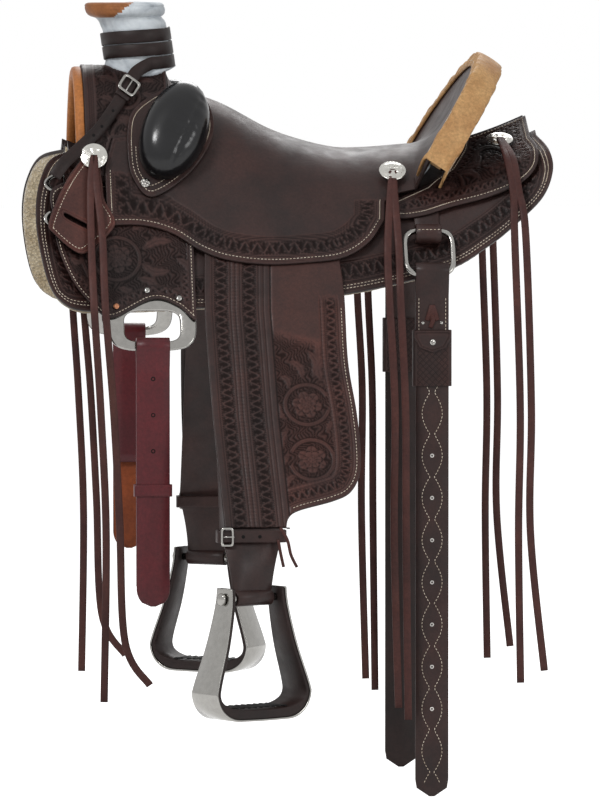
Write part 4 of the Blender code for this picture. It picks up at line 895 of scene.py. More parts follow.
def line_facts(points, a, b):
    """Each place's distance from a run of points, and the share of it walked to the nearest one."""
    lengths = np.linalg.norm(np.diff(points, axis=0), axis=1)
    total = lengths.sum()
    best = np.full(len(a), FAR_AWAY)
    share = np.zeros(len(a))
    walked = 0.0
    for (px, py), (qx, qy), length in zip(points, points[1:], lengths):
        dx, dy = qx - px, qy - py
        s = np.clip(((a - px) * dx + (b - py) * dy) / max(length ** 2, 1e-12), 0, 1)
        away = np.hypot(a - px - s * dx, b - py - s * dy)
        nearer = away < best
        best = np.where(nearer, away, best)
        share = np.where(nearer, (walked + s * length) / total, share)
        walked += length
    return best, share


def leaf(a, b, start, end, wide, bend=0.0, lobes=4):
    """A leaf with a bent middle vein and a lobed edge: its height above the ground, 0 outside."""
    start, end = np.array(start, float), np.array(end, float)
    way = end - start
    across = np.array([-way[1], way[0]])
    spine = curve_through([start, (start + end) / 2 + across * bend, end], 6)
    away, share = line_facts(spine, a, b)
    reach = wide * np.sin(np.pi * np.clip(share, 0.02, 0.985)) ** 0.7
    reach = reach * (1 - 0.32 * np.abs(np.sin(np.pi * lobes * share)))
    body = np.clip(1 - (away / np.maximum(reach, 1e-5)) ** 2, 0, 1)
    veins = 0.30 * bell(away, 0.0011) + 0.12 * np.abs(np.sin(np.pi * (lobes * 2) * share - away * 900))
    return np.where((body > 0) & (share > 0.01) & (share < 0.99), body ** 0.45 - veins, 0)


def leaves(a, b, rows, spot=lambda x, z: (x, z)):
    """A leaf for each row: the two places of its start and end, its width and its bend."""
    return [leaf(a, b, spot(*row[:2]), spot(*row[2:4]), *row[4:]) for row in rows]


STEM_WIDE = 0.0026


def stem(a, b, points):
    away = line_facts(curve_through(points, 6), a, b)[0]
    return bell(away, STEM_WIDE, 4) * (0.85 - 0.25 * bell(away, VEIN))


def rosette(a, b, centre, radius, petals=6, turn=0.0):
    """A flower of two rows of cupped petals round a beaded eye."""
    da, db = a - centre[0], b - centre[1]
    r = np.hypot(da, db) / radius
    angle = np.arctan2(db, da) + turn
    height = np.zeros(len(a))
    for size, shift in ((1.0, 0.0), (0.64, np.pi / petals)):
        lobe = np.abs(np.cos((angle + shift) * petals / 2))
        rim = size * (0.70 + 0.30 * lobe ** 0.7)
        inside_it = r < rim
        cup = 0.55 + 0.45 * (r / rim) ** 2 - 0.35 * (1 - lobe) ** 2 - 0.25 * (lobe > 0.985)
        fall = smooth_step(1.0, 0.86, r / rim)
        height = np.where(inside_it, cup * fall + (0.08 if size < 1 else 0), height)
    eye = r < 0.24
    return np.where(eye, 0.75 + 0.3 * np.cos(angle * 7) * np.cos(r * 26), height)


def ring(a, b, centre, radius, wide=0.0028, start=0.0, sweep=2 * np.pi):
    """A scroll that runs round a flower."""
    da, db = a - centre[0], b - centre[1]
    away = np.abs(np.hypot(da, db) - radius)
    angle = (np.arctan2(db, da) - start) % (2 * np.pi)
    return np.where(angle < sweep, bell(away, wide, 4) * (0.9 - 0.3 * bell(away, VEIN)), 0)


def carved(a, b, panel, figures):
    """Figures and fine vines standing on a sunk, matted ground inside a panel, whose strength is 0 to 1."""
    tall = np.maximum.reduce([np.zeros(len(a)), *figures])
    wander = a * 620 + 2.6 * np.sin(b * 170 + 1.3 * np.sin(a * 140)) + b * 260
    vines = 0.62 * smooth_step(0.25, 0.95, np.abs(np.sin(wander + 1.5 * np.sin(b * 330 - a * 210))))
    tall = np.maximum(tall, vines * smooth_step(0.02, 0.0, tall))
    mat = 0.12 * np.sin(a * 2600) * np.sin(b * 2600)
    return panel * (GROUND * 1.15 * (1 - np.clip(tall, 0, 1.15)) + 0.0006 * mat * (tall < 0.05))


# Rings of a hole and of a rivet's head: a share of the radius, and the rise in metres or in radii
HOLE_PROFILE = [(1.0, -0.0008), (1.0, 0.0001), (0.82, 0.00025), (0.05, -0.0001)]
STUD_PROFILE = [(1.0, -0.0003), (1.0, 0.16), (0.93, 0.30), (0.75, 0.44), (0.5, 0.52), (0.25, 0.55),
                (0.02, 0.56)]
RIVET = 0.0042


def holes_on(name, places, outs, radius, look="hole", rides="root", slot="leather"):
    """Round holes seen as small dark discs with a pressed rim; the dark disc is painted shade for the hole's
    shaded inside.
    """
    turn = round_angles(14)
    pieces = []
    for place, out in zip(places, outs):
        out, across, up = axes_across(out)
        circle = np.outer(np.cos(turn), across) + np.outer(np.sin(turn), up)
        pieces.append(ringed([place + radius * share * circle + out * rise for share, rise in HOLE_PROFILE]))
    return placed(merged(name, pieces, look), rides, slot)


def studs_on(name, places, outs, radius, look="steel", rides="root", cross_cut=False):
    """Domed rivet or screw heads; a screw's cross is sunk in its crown."""
    turn = round_angles(32)
    pieces = []
    for place, out in zip(places, outs):
        out, across, up = axes_across(out)
        rings = []
        for share, rise in STUD_PROFILE:
            cross_x, cross_y = share * np.cos(turn), share * np.sin(turn)
            arms = np.minimum(np.abs(cross_x), np.abs(cross_y)) < 0.12
            sunk = np.where(arms & (share < 0.8) & cross_cut, 0.28, 0.0)
            rings.append(place + radius * (np.outer(cross_x, across) + np.outer(cross_y, up))
                         + out * (radius * (rise - sunk))[:, None])
        pieces.append(ringed(rings))
    return placed(merged(name, pieces, look), rides, "stainless")


# The camera, from the near side with the horse's head at the image's left

AIM = Vector((0, 0, -0.2516))
CAMERA_FAR = 11.0
AZIMUTH = math.radians(-5)
ELEVATION = math.radians(2.9)
FRAME_HEIGHT = 1.088
SENSOR = 24.0


def make_camera():
    back = Vector((
        math.sin(AZIMUTH) * math.cos(ELEVATION), -math.cos(AZIMUTH) * math.cos(ELEVATION),
        math.sin(ELEVATION),
    ))
    data = bpy.data.cameras.new("camera")
    data.sensor_fit = "VERTICAL"
    data.sensor_height = SENSOR
    data.lens = SENSOR * CAMERA_FAR / FRAME_HEIGHT
    data.clip_end = 60
    camera = bpy.data.objects.new("camera", data)
    camera.location = AIM + back * CAMERA_FAR
    camera.rotation_euler = back.to_track_quat("Z", "Y").to_euler()
    bpy.context.scene.collection.objects.link(camera)
    bpy.context.scene.camera = camera


make_camera()


# Saddle strings: two thongs hang from each concho. A route is the concho's place, the run that lies on
# the leather, and the hanging tails of the two thongs, all seen from the near side

THONG_WIDTH = 0.010
THONG_THICK = 0.003
CONCHO_RADIUS = 0.0185
CONCHO_THICK = 0.004
CONCHO_SEAT = 0.0025
STRING_ROUTES = {
    "front": ((-0.289, 0.0775), [(-0.291, 0.040), (-0.289, -0.030), (-0.288, -0.130)],
              [(-0.287, -0.250), (-0.280, -0.420), (-0.283, -0.640)],
              [(-0.270, -0.250), (-0.262, -0.400), (-0.255, -0.560), (-0.222, -0.618)]),
    "middle": ((0.114, 0.052), [(0.110, 0.010), (0.108, -0.050), (0.107, -0.110)],
               [(0.107, -0.250), (0.106, -0.420), (0.112, -0.652)],
               [(0.121, -0.250), (0.122, -0.420), (0.125, -0.668)]),
    "rear": ((0.265, 0.0955), [(0.272, 0.070), (0.276, 0.030), (0.278, -0.030)],
             [(0.278, -0.250), (0.276, -0.420), (0.279, -0.622)],
             [(0.293, -0.250), (0.292, -0.420), (0.311, -0.606)]),
}


def seat_spot(x, z, out, side):
    """A point over the outermost leather at this place, seen from the side."""
    if x > 0.2:
        t = down_back(x, z, PLATE_TOP)
        return on_back(x, t, PLATE_TOP + out, side)
    crown = FORK_HEIGHT if x < FORK_REAR else None
    flat = FORK_FLAT if x < FORK_REAR else None
    v = down_section(x, z, crown, flat)
    return section(x, side * v, out + JOCKEY, crown, flat)


def strap_body(points, ways, width, thick, crown=0.0):
    """Rings of a strap whose width lies along the ways given."""
    run = unit(np.gradient(points, axis=0))
    across = unit(ways - run * np.sum(ways * run, axis=1, keepdims=True))
    out = np.cross(run, across)
    return band(points, out, width, thick, crown=crown)


# A concho's rings: shares of its radius and of its thickness
CONCHO_PROFILE = [
    (0.90, 0.0), (0.99, 0.18), (1.0, 0.42), (0.955, 0.62), (0.90, 0.60), (0.86, 0.70), (0.74, 0.74),
    (0.70, 0.86), (0.55, 0.96), (0.38, 1.06), (0.2, 1.12), (0.03, 1.14),
]


def concho_on(name, centre, out):
    """A domed silver disc with an engraved border and two slots for the thongs."""
    across = unit(np.cross(out, [1.0, 0.0, 0.0]))
    up = np.cross(out, across)
    turn = round_angles(72)
    rings = []
    for share, height in CONCHO_PROFILE:
        rope = 0.035 * np.cos(turn * 24) if 0.92 < share < 0.98 else 0 * turn
        petal = 0.05 * np.cos(turn * 8) if 0.5 < share < 0.8 else 0 * turn
        a, b = np.cos(turn) * CONCHO_RADIUS * share, np.sin(turn) * CONCHO_RADIUS * share
        slot_depth = np.where((np.abs(np.abs(a) - 0.0052) < 0.0013) & (np.abs(b) < 0.0075), 0.5, 0.0)
        level = centre + np.outer(a, across) + np.outer(b, up)
        rings.append(level + out * (CONCHO_THICK * (height + rope + petal - slot_depth))[:, None])
    return placed(shown(name, *ringed(rings), "engraved"), "root", "stainless")


def make_strings():
    lift_off = HOLDER + 3 * CURVED_GAP
    for where, (head, drape, tail_a, tail_b) in STRING_ROUTES.items():
        for side, name in SIDES:
            start = seat_spot(*head, lift_off + CONCHO_SEAT, side)
            out = unit(seat_spot(*head, lift_off + 0.01, side) - start)
            disc = concho_on(f"concho_{where}_{name}", start, out)
            spots = [seat_spot(x, z, lift_off + 0.006, side) for x, z in drape]
            hang = max(abs(spot[1]) for spot in spots) + 0.002
            for tail, sign, letter in ((tail_a, -1, "a"), (tail_b, 1, "b")):
                points = [start + out * 0.003]
                for spot in spots:
                    share = 0.5 if spot[2] > 0 else 1.0
                    points.append(spot + np.array([sign * THONG_WIDTH * 0.75 * share, 0, 0]))
                points += [np.array([x, side * hang, z]) for x, z in tail]
                path = curve_through(points, 12)
                ways = np.tile([1.0, 0.0, 0.0], (len(path), 1))
                body, faces = strap_body(path, ways, THONG_WIDTH, THONG_THICK, crown=0.0003)
                thong = shown(f"thong_{where}_{name}_{letter}", body, faces, "string")
                placed(thong, "root", "string_leather", f"string_{where}_{name}")


make_strings()


# Leather on the horse's sides

def side_outline(edge, level, top=None):
    points = curve_through(edge, 10, closed=top is None)
    outline = np.stack([points[:, 0], down_back(points[:, 0], points[:, 1], level)], -1)
    return np.vstack([outline, top]) if top is not None else outline


def inset_runs(flat, distance, wanted):
    """Stretches of the line that lies so far inside a piece's edge."""
    ring_points = spaced(flat.outline, 0.0016, closed=True)
    ahead = unit(np.roll(ring_points, -2, axis=0) - np.roll(ring_points, 2, axis=0))
    line = ring_points + np.stack([-ahead[:, 1], ahead[:, 0]], -1) * distance
    away, _ = edge_facts(ring_points, line)
    good = (away > distance * 0.97) & inside(flat.outline, line) & wanted(line[:, 0], line[:, 1])
    if good.all():
        return [line]
    first = int(np.argmin(good))
    line, good = np.roll(line, -first, axis=0), np.roll(good, -first)
    runs, now = [], []
    for point, fine in zip(line, good):
        if fine:
            now.append(point)
        elif now:
            runs.append(np.array(now))
            now = []
    if now:
        runs.append(np.array(now))
    return [run for run in runs if len(run) > 6]


def sew(name, flat, place, level, distances, wanted, rides="root"):
    """Rows of stitches along a piece's edge."""
    pieces = []
    for distance in distances:
        for run in inset_runs(flat, distance, wanted):
            depth = np.full(len(run), level)
            points = place(run[:, 0], run[:, 1], depth)
            pieces.append(stitches(points, unit(place(run[:, 0], run[:, 1], depth + 0.004) - points)))
    placed(merged(name, pieces, "thread"), rides, "leather")


def dressed(node_name, flat, place, low, high, relief=None, rows=(), wanted=None, rides="root",
            look="leather", **more):
    """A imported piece's leather, laid and tooled, with rows of stitches along its edge."""
    made = leather(f"{node_name}_leather", flat, place, low, high, look, relief, **more)
    placed(made, rides, "leather", node_name)
    if rows:
        sew(f"{node_name}_thread", flat, place, high, rows, wanted, rides)


def everywhere(a, b):
    return np.ones(len(a), bool)


SKIRT_TOP = [(SKIRT_EDGE[-1][0], 0.004), (SKIRT_EDGE[0][0], 0.004)]


def make_skirts():
    outline = side_outline(SKIRT_EDGE, SKIRT_IN, SKIRT_TOP)
    flat = Flat(outline, 0.0019, lambda x, t, edge: (edge < 0.052) & (t > 0.02), 6)

    def relief(x, t, edge, run):
        border = stamped(edge, run, 0.0185, 0.044) + grooves(edge, 0.0145, 0.0165, 0.0465)
        return smooth_step(0.02, 0.04, t) * border + groove(edge, 0.0042, 0.0012, 0.0006)

    for side, name in SIDES:
        place = laid(on_back, side)
        dressed(f"skirt_{name}", flat, place, SKIRT_IN, SKIRT_IN + SKIRT, relief, (0.0068, 0.0110),
                lambda x, t: t > 0.03)


FLEECE_INSET = 0.0015
FLEECE_WAVES = 26


def make_fleeces():
    points = curve_through(SKIRT_EDGE, 10)
    outline = np.stack([points[:, 0], down_back(points[:, 0], points[:, 1], SKIRT_IN) - FLEECE_INSET], -1)
    outline = np.vstack([outline, SKIRT_TOP])
    outline[:, 0] -= np.sign(outline[:, 0]) * FLEECE_INSET
    flat = Flat(outline, 0.0036)
    rng = np.random.default_rng(7)
    waves = rng.uniform(-1, 1, (FLEECE_WAVES, 2)) * 900
    phases = rng.uniform(0, 2 * np.pi, FLEECE_WAVES)

    def relief(x, t, edge, run):
        clump = sum(np.sin(x * p + t * q + s) for (p, q), s in zip(waves, phases)) / FLEECE_WAVES
        return 0.0042 * clump - 0.0006

    for side, name in SIDES:
        wool = leather(f"fleece_{name}_wool", flat, laid(on_back, side), FLEECE, 0.0, "wool", relief,
                       round_edge=0.006, edge_look="wool")
        placed(wool, "root", "fleece", f"fleece_{name}")


def up(z):
    """A height seen from the side, as a length along the slope of the flat side."""
    return np.asarray(z) / math.sin(SIDE_ANGLE)


def seen(x, t, d):
    """The places of a sheet in side view, stretched to true lengths on the flat side."""
    return x, up(on_back(x, t, d, FAR)[..., 2])


def at(x, z):
    return x, float(up(z))


# Flowers: a place, a radius and where the scroll round it starts
REAR_JOCKEY_FLOWERS = [(0.184, 0.046, 0.0185, 2.4), (0.253, 0.073, 0.0175, 5.2)]
# Leaves: where they start and end, how wide they are and how far they bend
REAR_JOCKEY_LEAVES = [
    (0.207, 0.058, 0.232, 0.052, 0.0085, 0.25), (0.212, 0.066, 0.236, 0.090, 0.0080, -0.25),
    (0.160, 0.050, 0.134, 0.038, 0.0085, 0.2), (0.162, 0.064, 0.146, 0.088, 0.0080, -0.2),
    (0.278, 0.080, 0.292, 0.070, 0.0065, 0.2), (0.190, 0.072, 0.206, 0.096, 0.0075, 0.25),
    (0.206, 0.036, 0.236, 0.042, 0.0060, -0.2), (0.242, 0.098, 0.262, 0.108, 0.0070, 0.1),
    (0.150, 0.026, 0.128, 0.020, 0.0060, 0.1),
]


def make_rear_jockeys():
    flat = Flat(side_outline(REAR_JOCKEY_EDGE, PLATE_IN, REAR_JOCKEY_TOP), 0.0017)

    def relief(x, t, edge, run):
        a, b = seen(x, t, PLATE_TOP)
        figures = leaves(a, b, REAR_JOCKEY_LEAVES, at)
        for x_seen, z_seen, radius, start in REAR_JOCKEY_FLOWERS:
            centre = at(x_seen, z_seen)
            figures.append(rosette(a, b, centre, radius, 5, 0.4))
            figures.append(ring(a, b, centre, radius * 1.33, start=start, sweep=4.6))
        panel = smooth_step(0.0225, 0.0240, edge)
        border = stamped(edge, run, 0.0105, 0.0205, 0.011)
        return carved(a, b, panel, figures) + border + grooves(edge, 0.0085, 0.0218)

    for side, name in SIDES:
        dressed(f"rear_jockey_{name}", flat, laid(on_back, side), PLATE_IN, PLATE_TOP, relief, (0.0052,),
                lambda x, t: t > -0.03)


RIGGING_END = -0.1575
RIGGING_RIVETS = [(-0.2645, -0.1165), (-0.2225, -0.0960), (-0.1800, -0.1065)]
RIGGING_LEAVES = [
    (-0.226, -0.040, -0.186, -0.030, 0.0105, 0.15), (-0.228, -0.058, -0.190, -0.068, 0.0105, -0.2),
    (-0.236, -0.078, -0.205, -0.098, 0.0095, 0.2), (-0.262, -0.090, -0.240, -0.108, 0.0085, 0.2),
    (-0.292, -0.080, -0.300, -0.100, 0.0080, -0.2), (-0.182, -0.052, -0.164, -0.075, 0.0090, 0.2),
    (-0.200, -0.014, -0.172, -0.004, 0.0095, -0.2), (-0.240, -0.016, -0.214, -0.008, 0.0085, 0.2),
    (-0.186, -0.090, -0.166, -0.108, 0.0075, 0.1), (-0.304, -0.030, -0.322, -0.010, 0.0075, 0.3),
    (-0.306, -0.056, -0.324, -0.048, 0.0070, 0.2), (-0.292, -0.018, -0.284, 0.006, 0.0080, 0.2),
]


def make_rigging_plates():
    outline = side_outline(RIGGING_EDGE, PLATE_IN)
    outline[:, 0] = np.minimum(outline[:, 0], RIGGING_END)
    flat = Flat(outline, 0.0017, lambda x, t, e: (t > 0.07) | (e < 0.02), 5)

    def relief(x, t, edge, run):
        a, b = seen(x, t, PLATE_TOP)
        flower = at(-0.262, -0.052)
        figures = [rosette(a, b, flower, 0.0235, 6, 0.3), ring(a, b, flower, 0.0315, 0.0026)]
        figures.append(stem(a, b, [at(-0.300, -0.075), at(-0.310, -0.045), at(-0.303, -0.012)]))
        figures += leaves(a, b, RIGGING_LEAVES, at)
        bottom = smooth_step(at(0, -0.066)[1], at(0, -0.074)[1], b) * smooth_step(-0.335, -0.325, x)
        bottom = bottom * smooth_step(-0.160, -0.166, x)
        strip = stamped(edge, run, 0.0085, 0.0175, 0.0105) * bottom
        panel = smooth_step(0.0195, 0.0210, edge) * bottom + smooth_step(0.0085, 0.0100, edge) * (1 - bottom)
        line = grooves(edge, 0.0190) * bottom + grooves(edge, 0.0070)
        return carved(a, b, panel, figures) + strip + line

    for side, name in SIDES:
        place = laid(on_back, side)
        dressed(f"rigging_plate_{name}", flat, place, PLATE_IN, PLATE_TOP, relief, (0.0042,),
                lambda x, t: (t > 0.06) & (x < -0.160))
        spots = [(x, down_back(x, z, PLATE_IN)) for x, z in RIGGING_RIVETS]
        heads = [place(x, t, PLATE_TOP) for x, t in spots]
        outs = [place(x, t, PLATE_TOP + 0.01) - head for (x, t), head in zip(spots, heads)]
        studs_on(f"copper_rivet_{name}", heads[:1], outs[:1], RIVET, "copper")
        studs_on(f"rigging_rivets_{name}", heads[1:], outs[1:], RIVET)


# Flat rings in the leather: each outline is a closed run of places seen from the side

RIGGING_RING_X = -0.217
RIGGING_RING_TOP = -0.098
RIGGING_RING_BOTTOM = -0.174
RIGGING_RING_HALF = 0.059
RIGGING_BAR = 0.011
RIGGING_HOLE_TOP = -0.122
DEE_WIDTH = 0.004
RING_SECTION = [(0.0, 0.25), (0.0, 0.75), (0.1, 1.0), (0.9, 1.0), (1.0, 0.75), (1.0, 0.25), (0.9, 0.0),
                (0.1, 0.0)]


def flat_ring(name, outer, inner, side, node_name, clear=0.0):
    """A rounded flat ring between two outlines of as many points."""
    low, thick = UNDER_IN + clear, STRAP - 2 * clear
    lines = []
    for share, depth in RING_SECTION:
        points = outer + (inner - outer) * share
        t = down_back(points[:, 0], points[:, 1], low)
        lines.append(on_back(points[:, 0], t, low + thick * depth, side))
    return placed(shown(name, *woven(lines, closed=True), "steel"), "root", "stainless", node_name)


def rigging_outline(inset, top, power):
    half = RIGGING_RING_HALF - inset
    bottom = RIGGING_RING_BOTTOM + inset
    c, s = squared(round_angles(120), power)
    return np.stack([RIGGING_RING_X + half * c, (top + bottom) / 2 + (top - bottom) / 2 * s], -1)


def dee_outline(x, z, half):
    outer, inner = [], []
    for reach, points in ((half, outer), (half - DEE_WIDTH, inner)):
        for turn in np.linspace(np.pi / 2, np.pi * 1.5, 33):
            points.append((x + 1.9 * reach * math.cos(turn), z + reach * math.sin(turn)))
        points.append((x + (half - reach) * 0.6 + 0.004, z - reach))
        points.append((x + (half - reach) * 0.6 + 0.004, z + reach))
    inner = [(p - (DEE_WIDTH if i > 32 else 0), q) for i, (p, q) in enumerate(inner)]
    return np.array(outer), np.array(inner)


def make_rings():
    outer = rigging_outline(0, RIGGING_RING_TOP, 3.6)
    inner = rigging_outline(RIGGING_BAR, RIGGING_HOLE_TOP, 4.0)
    inner[:, 0] = RIGGING_RING_X + (inner[:, 0] - RIGGING_RING_X) * 0.78
    for side, name in SIDES:
        flat_ring(f"rigging_ring_{name}_steel", outer, inner, side, f"rigging_ring_{name}")
        flat_ring(f"breast_dee_{name}_steel", *dee_outline(-0.336, 0.000, 0.012), side, f"breast_dee_{name}")
    flat_ring("strap_dee_left_steel", *dee_outline(-0.332, 0.047, 0.013), NEAR, "strap_dee_left", 0.0013)


def rounded_frame(centre, first, second, out, half_first, half_second, wire, thick):
    """A flat ring with square but rounded corners: the points and faces of its body."""
    c, s = squared(round_angles(64), 6.0)
    lines = []
    for share, level in RING_SECTION:
        a, b = (half_first - wire * share) * c, (half_second - wire * share) * s
        lines.append(centre + np.outer(a, first) + np.outer(b, second) + out * (thick * (level - 0.5)))
    return woven(lines, closed=True)


def lathed(start, axis, profile, closed=False):
    """A body turned about an axis from (place along it, radius) pairs."""
    axis, across, up = axes_across(axis)
    turn = round_angles(28)
    circle = np.outer(np.cos(turn), across) + np.outer(np.sin(turn), up)
    return ringed([start + axis * place + circle * radius for place, radius in profile], closed)


# Fork: its tooled cover, the tan edge at the gullet, and the horn

FORK_SKIN = [
    (FORK_REAR - 0.0005, 0.0), (FORK_REAR - 0.0005, 0.558), (-0.2165, 0.600), (-0.2635, 0.640),
    (-0.2760, 0.800), (-0.2775, 0.838), (FORK_FRONT + 0.0005, 0.838),
]


FORK_STEM = [(-0.262, 0.150), (-0.274, 0.120), (-0.262, 0.100), (-0.252, 0.072), (-0.256, 0.040)]
FORK_LEAVES = [
    (-0.262, 0.110, -0.222, 0.112, 0.0090, 0.15), (-0.268, 0.128, -0.279, 0.150, 0.0060, 0.2),
    (-0.256, 0.100, -0.278, 0.088, 0.0065, 0.2), (-0.254, 0.062, -0.280, 0.052, 0.0075, 0.2),
    (-0.224, 0.142, -0.208, 0.128, 0.0070, 0.2), (-0.222, 0.094, -0.198, 0.104, 0.0080, 0.2),
    (-0.232, 0.064, -0.202, 0.060, 0.0085, -0.2), (-0.250, 0.034, -0.216, 0.030, 0.0080, 0.2),
    (-0.258, 0.028, -0.276, 0.014, 0.0065, 0.2), (-0.222, 0.078, -0.196, 0.082, 0.0065, 0.1),
    (-0.240, 0.010, -0.206, 0.012, 0.0075, 0.2),
]
# Corners of the trim's section: a place along X, and how far out from the fork it lies
TRIM_BACK = FORK_FRONT - GAP
TRIM_FRONT = TRIM_BACK - TRIM
TRIM_CORNER = 0.0045
TRIM_SECTION = [
    (TRIM_BACK, -0.0020), (TRIM_BACK - 0.0008, -0.0015), (TRIM_FRONT + TRIM_CORNER, -0.0015),
    (TRIM_FRONT + TRIM_CORNER * 0.3, -0.0028), (TRIM_FRONT, -0.0015 - TRIM_CORNER),
    (TRIM_FRONT, -TRIM_BAND + TRIM_CORNER), (TRIM_FRONT + TRIM_CORNER * 0.3, -TRIM_BAND + 0.0013),
    (TRIM_FRONT + TRIM_CORNER, -TRIM_BAND), (TRIM_BACK - 0.0008, -TRIM_BAND),
    (TRIM_BACK, -TRIM_BAND + 0.0006),
]


def make_fork():
    half = np.array([(x, to_w(v)) for x, v in FORK_SKIN])
    flat = Flat(np.vstack([half, (half * [1, -1])[::-1]]), 0.0019)

    def relief(x, w, edge, run):
        b = np.abs(w)
        ahead = x - FORK_FRONT
        plain = smooth_step(0.0165, 0.0178, ahead)
        upper, lower = (-0.243, 0.137), (-0.240, 0.085)
        figures = [rosette(x, b, upper, 0.0125, 5, 0.2), ring(x, b, upper, 0.0190, 0.0030, 1.0, 5.4),
                   ring(x, b, lower, 0.0160, 0.0028, 4.2, 5.2), rosette(x, b, lower, 0.0105, 5, 0.9),
                   stem(x, b, FORK_STEM), *leaves(x, b, FORK_LEAVES)]
        strip = smooth_step(0.163, 0.165, b) * stamped(b - 0.165, x, 0.001, 0.016, 0.0115) * plain
        panel = plain * smooth_step(0.1625, 0.1605, b) * smooth_step(0.0030, 0.0045, edge)
        lines = grooves(ahead, 0.0070, 0.0100, 0.0130)
        return carved(x, b, panel, figures) + strip + lines + groove(b, 0.1635, 0.0010) * plain

    skin = leather("fork_tooled_cover", flat, on_fork, -0.0006, 0.0012, "leather", relief, round_edge=0.0008)
    placed(skin, "root", "leather")

    stations = np.linspace(-TRIM_END, TRIM_END, 120)
    lines = []
    for x, out in TRIM_SECTION:
        points = section(np.full(len(stations), FORK_FRONT), stations, out, FORK_HEIGHT, FORK_FLAT)
        points[:, 0] = x
        lines.append(points)
    placed(shown("gullet_trim_band", *woven(lines), "orange_tan"), "root", "natural_leather", "gullet_trim")


def fork_top(y):
    """The fork's height at a distance from the centre plane."""
    v = np.linspace(0, 0.8, 200)
    line = fork_side(np.full(200, HORN_X), v, 0)
    return np.interp(np.abs(y), line[:, 1], line[:, 2])


# Rings of the cap and of the wrap round the neck: a height, a radius and a shift along X
HORN_SIDES = 96
CAP_UNDER = HORN_TOP - CAP_THICK
CAP_PROFILE = [
    (FORK_HEIGHT - JOCKEY - 0.005, POST_RADIUS, 0), (CAP_UNDER - 0.006, POST_RADIUS, 0),
    (CAP_UNDER - 0.0035, 0.034, -CAP_FORWARD * 0.5),
] + [(z, radius, -CAP_FORWARD) for z, radius in (
    (CAP_UNDER, CAP_RADIUS - 0.010), (CAP_UNDER + 0.0015, 0.0480), (CAP_UNDER + 0.0035, 0.0508),
    (CAP_UNDER + 0.006, 0.0525), (CAP_UNDER + 0.010, CAP_RADIUS), (HORN_TOP - 0.0065, CAP_RADIUS),
    (HORN_TOP - 0.0055, CAP_RADIUS - 0.0006), (HORN_TOP - 0.0045, CAP_RADIUS), (HORN_TOP - 0.0028, 0.0527),
    (HORN_TOP - 0.0012, 0.0510), (HORN_TOP - 0.0002, 0.0480), (HORN_TOP, 0.044), (HORN_TOP + 0.0002, 0.030),
    (HORN_TOP + 0.0002, 0.015), (HORN_TOP + 0.0002, 0.001),
)]
HIDE_LINE = (-0.268, 0.26, 1.29)  # where the hide ends on the cap: a place, its height and its lean
WRAP_TOP = 0.261
WRAP_TALL = 0.0585
WRAP_PROFILE = [
    (0.0, 0.0485, 0), (0.004, 0.0465, 0), (0.010, 0.0448, 0), (0.018, 0.0440, 0), (0.030, 0.0440, 0),
    (0.042, 0.0440, 0), (0.050, 0.0440, 0), (0.055, 0.0443, -0.0005), (0.0585, 0.0448, -0.001),
    (0.062, 0.0450, -0.003), (0.0655, 0.0452, -0.006), (0.0685, 0.0455, -0.009), (0.0685, 0.0300, 0),
    (0.0, 0.0300, 0),
]


def make_horn():
    body, faces = turned(CAP_PROFILE, HORN_SIDES)
    hidden = body[:, 0] > HIDE_LINE[0] + (body[:, 2] - HIDE_LINE[1]) * HIDE_LINE[2]
    away = unit(body - np.array([horn_axis(0.275) - CAP_FORWARD, 0, 0.275]))
    rough = np.sin(body[:, 0] * 410 + body[:, 1] * 230) * np.sin(body[:, 1] * 370 - body[:, 2] * 500)
    body = body + away * (hidden * (0.0010 + 0.0005 * rough))[:, None]
    marks = [int(np.mean(hidden[face]) > 0.5) for face in faces]
    cap = shown("horn_cap", body, faces, "tan", marks=marks, more=["hide"])
    placed(cap, "root", "natural_leather", "horn")

    turn = round_angles(HORN_SIDES)
    foot = fork_top((WRAP_RADIUS + 0.003) * np.sin(turn)) - 0.0006
    rings = []
    for height, radius, shift in WRAP_PROFILE:
        z = foot + (WRAP_TOP - foot) * height / WRAP_TALL
        wave = 0.0006 * np.sin(turn * 7 + height * 190) + 0.0005 * np.sin(turn * 3 - height * 260)
        out = radius + wave * (0.001 < height < 0.059) * (radius > 0.031)
        rings.append(stack(horn_axis(z) + shift + out * np.cos(turn), out * np.sin(turn), z))
    placed(shown("horn_wrap_hide", *ringed(rings, closed=True), "hide"), "root", "rawhide", "horn_wrap")


# The way across the horn strap where it lies flat on the fork, and what sits along its free run
FLAT_WAY = np.array([-0.75, 0, 0.66])
STRAP_KEEPER = 26  # the keeper's place, as a point of the run
STRAP_HOLES = (-0.262, -0.276, -0.290)


def horn_strap_line():
    radius = WRAP_RADIUS + CURVED_GAP + STRAP_THICK / 2 + GAP
    turned_by = np.linspace(0, STRAP_TURNS * 360 + STRAP_LEAVE, 150)
    angle = -np.radians(turned_by)
    z = STRAP_START_Z - STRAP_PITCH * turned_by / 360
    wound = stack(horn_axis(z) + radius * np.cos(angle), radius * np.sin(angle), z)
    return wound, np.array([fork_side(x, -down_fork(x, z), out) for x, z, out in STRAP_RUN])


def strap_face(way):
    """The outward way of the horn strap's face where the strap runs one way, and the way across it."""
    across = unit(FLAT_WAY - way * (FLAT_WAY @ way))
    out = np.cross(way, across)
    return (out if out[1] < 0 else -out), across


